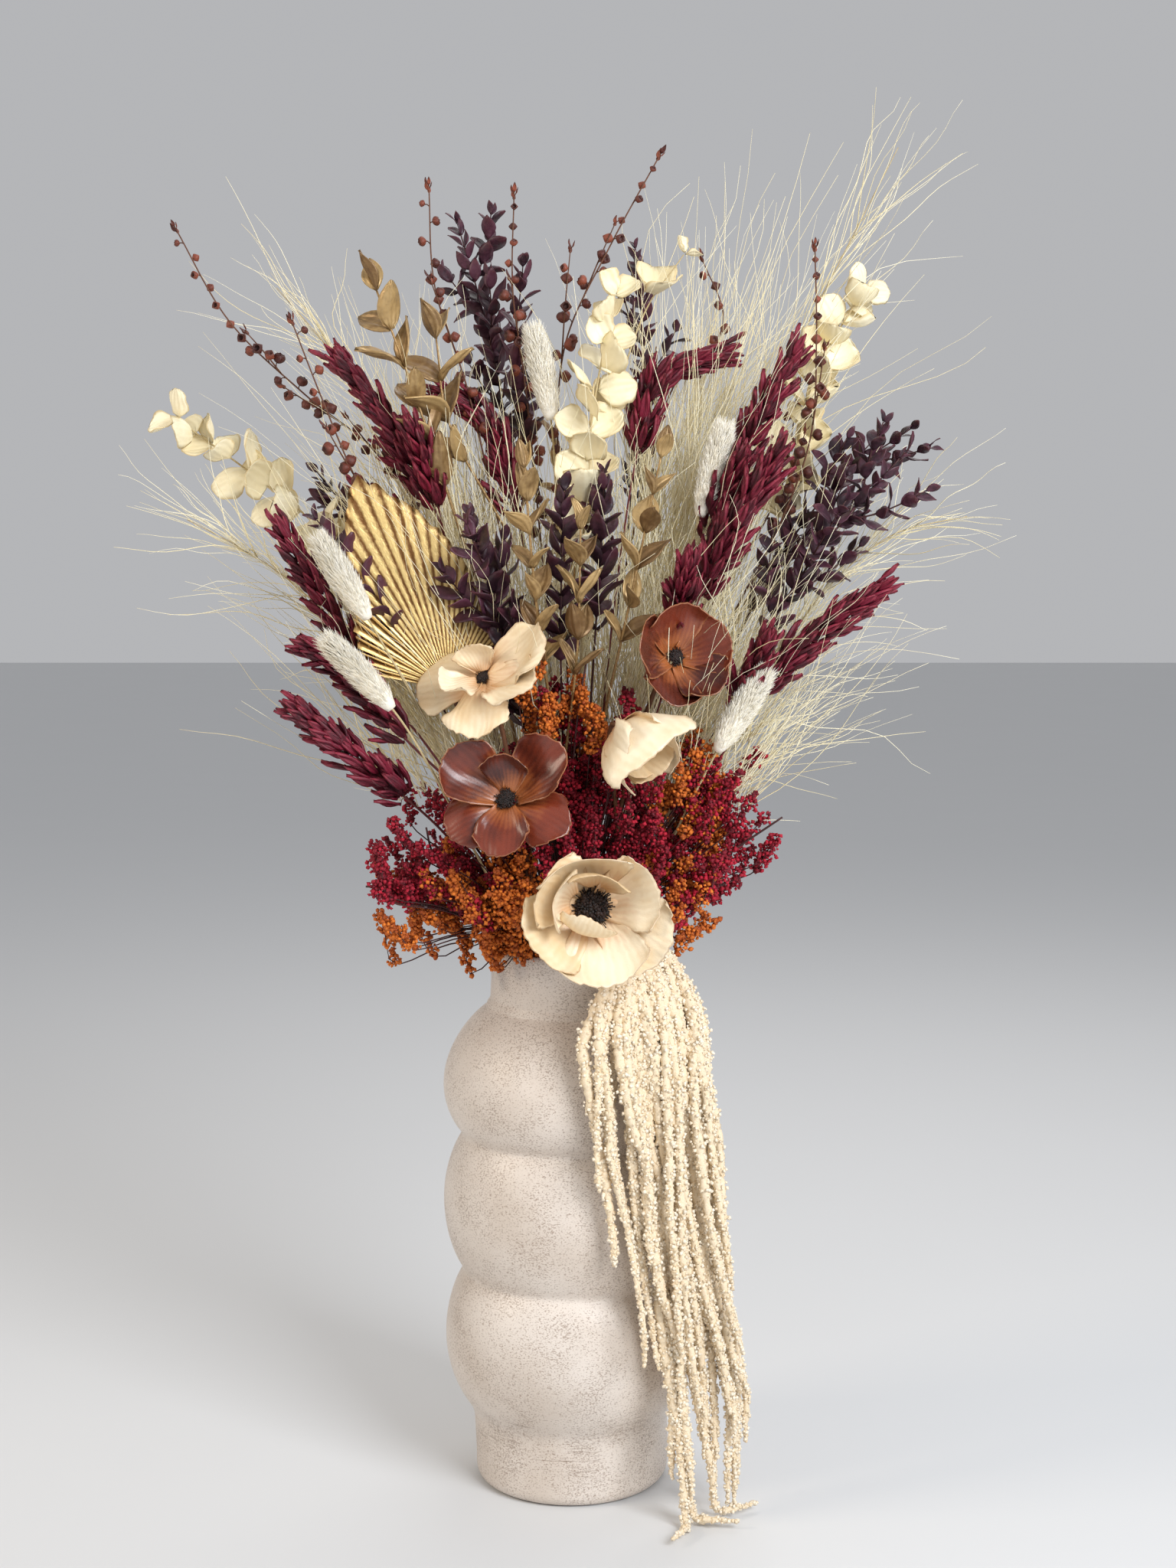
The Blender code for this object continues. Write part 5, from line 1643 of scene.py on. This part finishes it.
# Strands of each hanging tail: the place across and away from its middle, how far down it ends as a share
# of the tail, and which way its end trails on the floor, or 0.
STRANDS = {
    "amaranth_front": (
        (-1.50, 0.2, 0.62, 0), (-0.95, 0.9, 1.02, 0), (-0.40, 0.0, 0.92, 0), (0.10, 1.1, 0.78, 0),
        (0.55, 0.1, 1.12, 0), (1.00, 0.9, 0.94, 0), (-1.20, 1.6, 0.55, 0), (0.30, 2.0, 0.70, 0),
        (0.85, 0.0, 1.30, 0), (-2.00, 0.1, 0.80, 0), (1.50, 0.3, 1.20, 0), (2.00, 0.8, 1.02, 0),
    ),
    "amaranth_middle": (
        (-1.15, 0.3, 0.98, -1.2), (-0.70, 1.2, 0.90, 0), (-0.30, 0.0, 1.00, 0.3), (0.15, 1.0, 0.95, 0),
        (0.55, -0.1, 1.00, 1.4), (1.00, 0.8, 0.88, 0), (0.05, 2.2, 0.80, 0), (-0.50, 2.0, 0.70, 0),
        (1.30, 0.2, 0.97, 0), (-1.50, 0.8, 0.80, 0), (1.75, 0.3, 0.95, 0), (2.20, 0.9, 0.84, 0),
        (-2.00, 0.2, 0.74, 0),
    ),
    "amaranth_side": (
        (-1.30, 0.2, 1.24, 0), (-0.85, 1.1, 1.06, 0), (-0.40, 0.0, 1.18, 0), (0.05, 1.2, 0.98, 0),
        (0.45, 0.1, 1.10, 0), (0.85, 0.8, 0.90, 0), (1.10, 0.0, 0.98, 0), (0.30, 2.1, 0.76, 0),
        (-0.60, 2.2, 0.64, 0), (-1.00, 1.8, 0.86, 0), (-1.80, 0.2, 1.20, 0), (-2.25, 0.8, 1.00, 0),
        (-2.70, 0.2, 1.10, 0),
    ),
}


# ---- settings ----


def length_setting(label, default, about):
    return bpy.props.FloatProperty(name=label, description=about, default=default, min=0.0, unit="LENGTH",
                                   precision=5)


def share_setting(label, default, about):
    return bpy.props.FloatProperty(name=label, description=about, default=default)


def count_setting(label, default, about):
    return bpy.props.IntProperty(name=label, description=about, default=default, min=1)


def colour_setting(label, shown, about):
    return bpy.props.FloatVectorProperty(name=label, description=about, default=pigment(*shown), size=3,
                                         subtype="COLOR", min=0.0, max=1.0)


class ColourSettings(bpy.types.PropertyGroup):
    """The colours that the finishes are mixed from."""

    brown_twig: colour_setting("Brown twig", (120, 74, 46), "Stems of the seed capsules")
    pale_twig: colour_setting("Pale twig", (215, 198, 150), "Stems of the pale plants")
    dark_twig: colour_setting("Dark twig", (84, 40, 38), "Stems of the purple and crimson plants")
    bead_pod: colour_setting("Seed capsule", (148, 76, 54), "Light side of the seed capsules")
    eucalyptus: colour_setting("Eucalyptus", (250, 240, 208), "Light side of the round leaves")
    parvifolia: colour_setting("Parvifolia", (92, 50, 66), "Light side of the purple leaves")
    oat_stalk: colour_setting("Oat stalk", (132, 52, 52), "Stalks of the oats")
    oat: colour_setting("Oat", (132, 22, 50), "Light side of the oats")
    gold_leaf: colour_setting("Gold leaf", (194, 162, 110), "Light side of the gold leaves")
    gold_shade: colour_setting("Gold shade", (122, 92, 58), "Dark side of the gold leaves")
    bunny_tail: colour_setting("Bunny tail", (255, 252, 244), "Hairs of the bunny tails")
    grass: colour_setting("Grass", (255, 247, 218), "Hairs of the grass")
    crimson: colour_setting("Crimson", (188, 10, 46), "Light side of the crimson florets")
    orange: colour_setting("Orange", (238, 132, 40), "Light side of the orange florets")
    amaranth: colour_setting("Amaranth", (255, 244, 224), "Light side of the hanging amaranth")
    cream_petal: colour_setting("Cream petal", (248, 232, 202), "Light side of the cream petals")
    copper_petal: colour_setting("Copper petal", (124, 52, 32), "Light side of the copper petals")
    copper_heart: colour_setting("Copper heart", (176, 104, 56), "Base of the copper petals")
    # The palm spear's bright stripes are its gold with a painted highlight, on the ridges of the pleats.
    spear: colour_setting("Palm spear", (252, 218, 146), "Bright stripes of the palm spear")
    stoneware: colour_setting("Stoneware", (226, 215, 204), "Light patches of the vase")
    fleck: colour_setting("Fleck", (128, 100, 78), "Flecks and scratches of the vase")


class BeadSettings(bpy.types.PropertyGroup):
    capsule_gap: length_setting("Capsule gap", 0.0108, "Distance between seed capsules along a stem")
    capsule_radius: length_setting("Capsule radius", 0.0031, "Radius of the largest seed capsules")


class EucalyptusSettings(bpy.types.PropertyGroup):
    pair_gap: length_setting("Pair gap", 0.0125, "Distance between pairs of leaves")
    round_leaf: length_setting("Leaf", 0.0255, "Length of the largest leaves")
    leafy_length: length_setting("Leafy length", 0.150, "How much of a branch carries leaves")


class ParvifoliaSettings(bpy.types.PropertyGroup):
    small_leaf_gap: length_setting("Pair gap", 0.0072, "Distance between pairs of leaves")


class OatSettings(bpy.types.PropertyGroup):
    spikelets: count_setting("Spikelets", 88, "Spikelets on the largest head")
    spikelet: length_setting("Spikelet", 0.0200, "Length of a spikelet")


class GoldSettings(bpy.types.PropertyGroup):
    gold_leaf_scale: share_setting("Leaf scale", 1.0, "Size of the gold leaves against their table")


class TailSettings(bpy.types.PropertyGroup):
    tail_length: length_setting("Head length", 0.052, "Length of a bunny tail's head")
    tail_radius: length_setting("Head radius", 0.0100, "Radius of a bunny tail's soft core")
    hairs: count_setting("Hairs", 3400, "Hairs on each head")
    hair_length: length_setting("Hair length", 0.009, "Length of the longest hairs")


class GrassSettings(bpy.types.PropertyGroup):
    blade_radius: length_setting("Hair radius", 0.00036, "Radius of a grass hair at its foot")


class SprigSettings(bpy.types.PropertyGroup):
    spike_length: length_setting("Spike length", 0.028, "Length of a spike of florets")
    spike_radius: length_setting("Spike radius", 0.0045, "Radius of a spike of florets")
    florets: count_setting("Florets", 92, "Florets on a spike")
    floret: length_setting("Floret", 0.00135, "Radius of a floret")
    flower_room: length_setting("Flower room", 0.027, "How far the spikes keep from a flower's middle")
    tail_room: length_setting("Tail room", 0.017, "How far the spikes keep from a swung tail's middle")


class FlowerSettings(bpy.types.PropertyGroup):
    petal_scale: share_setting("Petal scale", 1.0, "Size of the petals against their table")


class SpearSettings(bpy.types.PropertyGroup):
    spear_scale: share_setting("Spear scale", 0.97, "Size of the spear against its outline")
    pleat_depth: length_setting("Pleat depth", 0.0026, "Depth of a pleat at the cut")


class VaseSettings(bpy.types.PropertyGroup):
    foot_radius: length_setting("Foot radius", 0.060, "Radius of the straight foot")
    foot_height: length_setting("Foot height", 0.045, "Height of the straight foot")
    foot_edge: length_setting("Foot edge", 0.007, "Radius of the foot's lower edge")
    lower_radius: length_setting("Lower radius", 0.0785, "Radius of the lowest lobe")
    middle_radius: length_setting("Middle radius", 0.0795, "Radius of the middle lobe")
    upper_radius: length_setting("Upper radius", 0.0775, "Radius of the highest lobe")
    crease_radius: length_setting("Crease radius", 0.0665, "Radius of the creases")
    neck_radius: length_setting("Neck radius", 0.050, "Radius of the neck")
    lower_lobe: length_setting("Lower lobe", 0.089, "Height of the lowest lobe")
    middle_lobe: length_setting("Middle lobe", 0.087, "Height of the middle lobe")
    upper_lobe: length_setting("Upper lobe", 0.080, "Height of the highest lobe")
    wall: length_setting("Wall", 0.005, "Thickness of the wall")
    lumps: length_setting("Lumps", 0.00045, "How far the wall wanders from round")
    turns: count_setting("Turns", 120, "Steps round the vase")
    softness: count_setting("Softness", 24, "How softly the creases are rounded")


class AmaranthSettings(bpy.types.PropertyGroup):
    strand_radius: length_setting("Strand radius", 0.0035, "Radius of a strand near its top")
    strand_spread: length_setting("Strand spread", 0.0095,
                                  "How far strands hang apart on each side of a tail")
    crumb: length_setting("Crumb", 0.00112, "Radius of a crumb")
    crumb_gap: length_setting("Crumb gap", 0.00037, "Strand length for each crumb")


class StageSettings(bpy.types.PropertyGroup):
    floor: colour_setting("Floor", (214, 215, 216), "Colour of the floor")
    floor_width: length_setting("Floor width", 16.0, "Width of the floor")
    window: share_setting("Window", 34.0, "Power of the window light in watts")
    warm_side: share_setting("Warm side", 9.0, "Power of the warm light on the left in watts")
    back: share_setting("Back", 8.0, "Power of the light behind in watts")
    room: share_setting("Room", 0.48, "Strength of the light from all round")
    lens: bpy.props.FloatProperty(name="Lens", description="Focal length", default=54.09, unit="CAMERA")


# ---- stage, camera and light ----

CAMERA_PLACE = (0.0102, -1.43, 0.602)
CAMERA_LOOKS_DOWN = 6.6
LIGHTS_AIM = (0.0, 0.0, 0.40)
FLOOR_THICKNESS = 0.05


def make_stage(look):
    """A plain floor, the lights, the sky and the camera."""
    deselect_all()
    bpy.ops.mesh.primitive_cube_add(size=1.0)
    floor = bpy.context.object
    floor.name = "floor"
    bpy.ops.object.mode_set(mode="EDIT")
    bpy.ops.mesh.select_all(action="SELECT")
    bpy.ops.transform.resize(value=(look.floor_width, look.floor_width, FLOOR_THICKNESS))
    bpy.ops.transform.translate(value=(0.0, 0.0, -FLOOR_THICKNESS / 2))
    bpy.ops.object.mode_set(mode="OBJECT")
    floor.data.materials.append(speckled_finish("floor_paint", look.floor, look.floor, 0.7, 6.0, 0))
    lamps = (
        ("window", (0.95, -1.35, 1.25), 0.90, look.window, (0.93, 0.96, 1.0)),
        ("lamp_left", (-1.45, -0.55, 1.00), 0.60, look.warm_side, (1.0, 0.86, 0.68)),
        ("lamp_back", (0.30, 0.95, 1.60), 1.20, look.back, (1.0, 0.97, 0.94)),
    )
    for name, place, size, power, colour in lamps:
        light = bpy.data.lights.new(name, "AREA")
        light.size = size
        light.energy = power
        light.color = colour
        lamp = bpy.data.objects.new(name, light)
        lamp.location = place
        aim = Vector(LIGHTS_AIM) - lamp.location
        lamp.rotation_euler = aim.to_track_quat("-Z", "Y").to_euler()
        bpy.context.scene.collection.objects.link(lamp)
    world = bpy.data.worlds.new("soft_room")
    world.use_nodes = True
    sky = world.node_tree.nodes["Background"]
    sky.inputs["Color"].default_value = (0.96, 0.97, 1.0, 1.0)
    sky.inputs["Strength"].default_value = look.room
    bpy.context.scene.world = world
    lens = bpy.data.cameras.new("camera")
    lens.lens = look.lens
    lens.sensor_width = 36.0
    camera = bpy.data.objects.new("camera", lens)
    camera.location = CAMERA_PLACE
    camera.rotation_euler = (math.radians(90 - CAMERA_LOOKS_DOWN), 0.0, 0.0)
    bpy.context.scene.collection.objects.link(camera)
    bpy.context.scene.camera = camera
    bpy.context.scene.view_settings.view_transform = "Standard"


def group_setting(kind, label):
    about = f"Settings of the {label.lower()}"
    return bpy.props.PointerProperty(type=kind, name=label, description=about)


class ArrangementSettings(bpy.types.PropertyGroup):
    """The settings of every group of pieces, kept on the scene."""

    colours: group_setting(ColourSettings, "Colours")
    vase: group_setting(VaseSettings, "Vase")
    beads: group_setting(BeadSettings, "Bead stems")
    eucalyptus: group_setting(EucalyptusSettings, "Eucalyptus")
    parvifolia: group_setting(ParvifoliaSettings, "Parvifolia")
    oats: group_setting(OatSettings, "Oats")
    gold: group_setting(GoldSettings, "Gold branches")
    tails: group_setting(TailSettings, "Bunny tails")
    grass: group_setting(GrassSettings, "Grass")
    sprigs: group_setting(SprigSettings, "Sprigs")
    flowers: group_setting(FlowerSettings, "Flowers")
    spear: group_setting(SpearSettings, "Palm spear")
    amaranth: group_setting(AmaranthSettings, "Amaranth")
    stage: group_setting(StageSettings, "Stage")


# ---- operators ----


class ARRANGEMENT_OT_finishes(bpy.types.Operator):
    """Mixes every finish from the colours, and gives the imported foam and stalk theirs."""

    bl_idname = "arrangement.finishes"
    bl_label = "Mix the finishes"

    def execute(self, context):
        look = context.scene.arrangement.colours
        mix_finishes(look)
        finish_packed_nodes()
        return {"FINISHED"}


class ARRANGEMENT_OT_vase(bpy.types.Operator):
    """Turns the three-lobed stoneware vase."""

    bl_idname = "arrangement.vase"
    bl_label = "Make the vase"

    def execute(self, context):
        make_vase(context.scene.arrangement.vase)
        return {"FINISHED"}


class ARRANGEMENT_OT_bead_stems(bpy.types.Operator):
    """Grows the thin stems with their seed capsules."""

    bl_idname = "arrangement.bead_stems"
    bl_label = "Make the bead stems"

    def execute(self, context):
        make_bead_stems(context.scene.arrangement.beads)
        return {"FINISHED"}


class ARRANGEMENT_OT_eucalyptus(bpy.types.Operator):
    """Grows the branches with round cream leaves."""

    bl_idname = "arrangement.eucalyptus"
    bl_label = "Make the eucalyptus"

    def execute(self, context):
        make_eucalyptus(context.scene.arrangement.eucalyptus)
        return {"FINISHED"}


class ARRANGEMENT_OT_parvifolia(bpy.types.Operator):
    """Grows the purple branches with small leaves."""

    bl_idname = "arrangement.parvifolia"
    bl_label = "Make the parvifolia"

    def execute(self, context):
        make_parvifolia(context.scene.arrangement.parvifolia)
        return {"FINISHED"}


class ARRANGEMENT_OT_oats(bpy.types.Operator):
    """Grows the burgundy heads of oats."""

    bl_idname = "arrangement.oats"
    bl_label = "Make the oats"

    def execute(self, context):
        make_oats(context.scene.arrangement.oats)
        return {"FINISHED"}


class ARRANGEMENT_OT_gold_branches(bpy.types.Operator):
    """Grows the branches with gold leaves."""

    bl_idname = "arrangement.gold_branches"
    bl_label = "Make the gold branches"

    def execute(self, context):
        make_gold_branches(context.scene.arrangement.gold)
        return {"FINISHED"}


class ARRANGEMENT_OT_bunny_tails(bpy.types.Operator):
    """Grows the soft white heads."""

    bl_idname = "arrangement.bunny_tails"
    bl_label = "Make the bunny tails"

    def execute(self, context):
        make_bunny_tails(context.scene.arrangement.tails)
        return {"FINISHED"}


class ARRANGEMENT_OT_grass(bpy.types.Operator):
    """Grows the feathery plumes of grass."""

    bl_idname = "arrangement.grass"
    bl_label = "Make the grass"

    def execute(self, context):
        make_grass(context.scene.arrangement.grass)
        return {"FINISHED"}


class ARRANGEMENT_OT_sprigs(bpy.types.Operator):
    """Grows the crimson and the orange sprigs of florets."""

    bl_idname = "arrangement.sprigs"
    bl_label = "Make the sprigs"

    def execute(self, context):
        look = context.scene.arrangement.sprigs
        make_sprigs(look, "crimson")
        make_sprigs(look, "orange")
        return {"FINISHED"}


class ARRANGEMENT_OT_flowers(bpy.types.Operator):
    """Makes the petals, hearts and stems of the five leathery flowers."""

    bl_idname = "arrangement.flowers"
    bl_label = "Make the flowers"

    def execute(self, context):
        look = context.scene.arrangement.flowers
        make_petals(look, "cream")
        make_petals(look, "copper")
        make_flower_stems()
        return {"FINISHED"}


class ARRANGEMENT_OT_palm_spear(bpy.types.Operator):
    """Makes the pleated gold palm spear and its stem."""

    bl_idname = "arrangement.palm_spear"
    bl_label = "Make the palm spear"

    def execute(self, context):
        make_palm_spear(context.scene.arrangement.spear)
        return {"FINISHED"}


class ARRANGEMENT_OT_amaranth(bpy.types.Operator):
    """Makes the hanging strands of amaranth."""

    bl_idname = "arrangement.amaranth"
    bl_label = "Make the amaranth"

    def execute(self, context):
        make_amaranth(context.scene.arrangement.amaranth)
        return {"FINISHED"}


class ARRANGEMENT_OT_stage(bpy.types.Operator):
    """Sets the floor, the lights, the sky and the camera."""

    bl_idname = "arrangement.stage"
    bl_label = "Set the stage"

    def execute(self, context):
        make_stage(context.scene.arrangement.stage)
        return {"FINISHED"}


OPERATORS = (
    ARRANGEMENT_OT_finishes,
    ARRANGEMENT_OT_vase,
    ARRANGEMENT_OT_bead_stems,
    ARRANGEMENT_OT_eucalyptus,
    ARRANGEMENT_OT_parvifolia,
    ARRANGEMENT_OT_oats,
    ARRANGEMENT_OT_gold_branches,
    ARRANGEMENT_OT_bunny_tails,
    ARRANGEMENT_OT_grass,
    ARRANGEMENT_OT_sprigs,
    ARRANGEMENT_OT_flowers,
    ARRANGEMENT_OT_palm_spear,
    ARRANGEMENT_OT_amaranth,
    ARRANGEMENT_OT_stage,
)


class ARRANGEMENT_PT_panel(bpy.types.Panel):
    """Lists the operators of the arrangement, each with its settings."""

    bl_idname = "ARRANGEMENT_PT_panel"
    bl_label = "Dried flower arrangement"
    bl_space_type = "VIEW_3D"
    bl_region_type = "UI"
    bl_category = "Arrangement"

    def draw(self, context):
        settings = context.scene.arrangement
        names = [key for key in ArrangementSettings.__annotations__]
        for piece, key in zip(OPERATORS, names):
            box = self.layout.box()
            box.operator(piece.bl_idname)
            group = getattr(settings, key)
            for field in type(group).__annotations__:
                box.prop(group, field)


SETTINGS = (
    ColourSettings, VaseSettings, BeadSettings, EucalyptusSettings, ParvifoliaSettings, OatSettings,
    GoldSettings, TailSettings, GrassSettings, SprigSettings, FlowerSettings, SpearSettings,
    AmaranthSettings, StageSettings,
)
CLASSES = (*SETTINGS, ArrangementSettings, *OPERATORS, ARRANGEMENT_PT_panel)


def register():
    for kind in CLASSES:
        bpy.utils.register_class(kind)
    bpy.types.Scene.arrangement = bpy.props.PointerProperty(type=ArrangementSettings)


def unregister():
    del bpy.types.Scene.arrangement
    for kind in reversed(CLASSES):
        bpy.utils.unregister_class(kind)


def main():
    register()
    for kind in OPERATORS:
        group, action = kind.bl_idname.split(".")
        getattr(getattr(bpy.ops, group), action)()


if __name__ == "__main__":
    main()
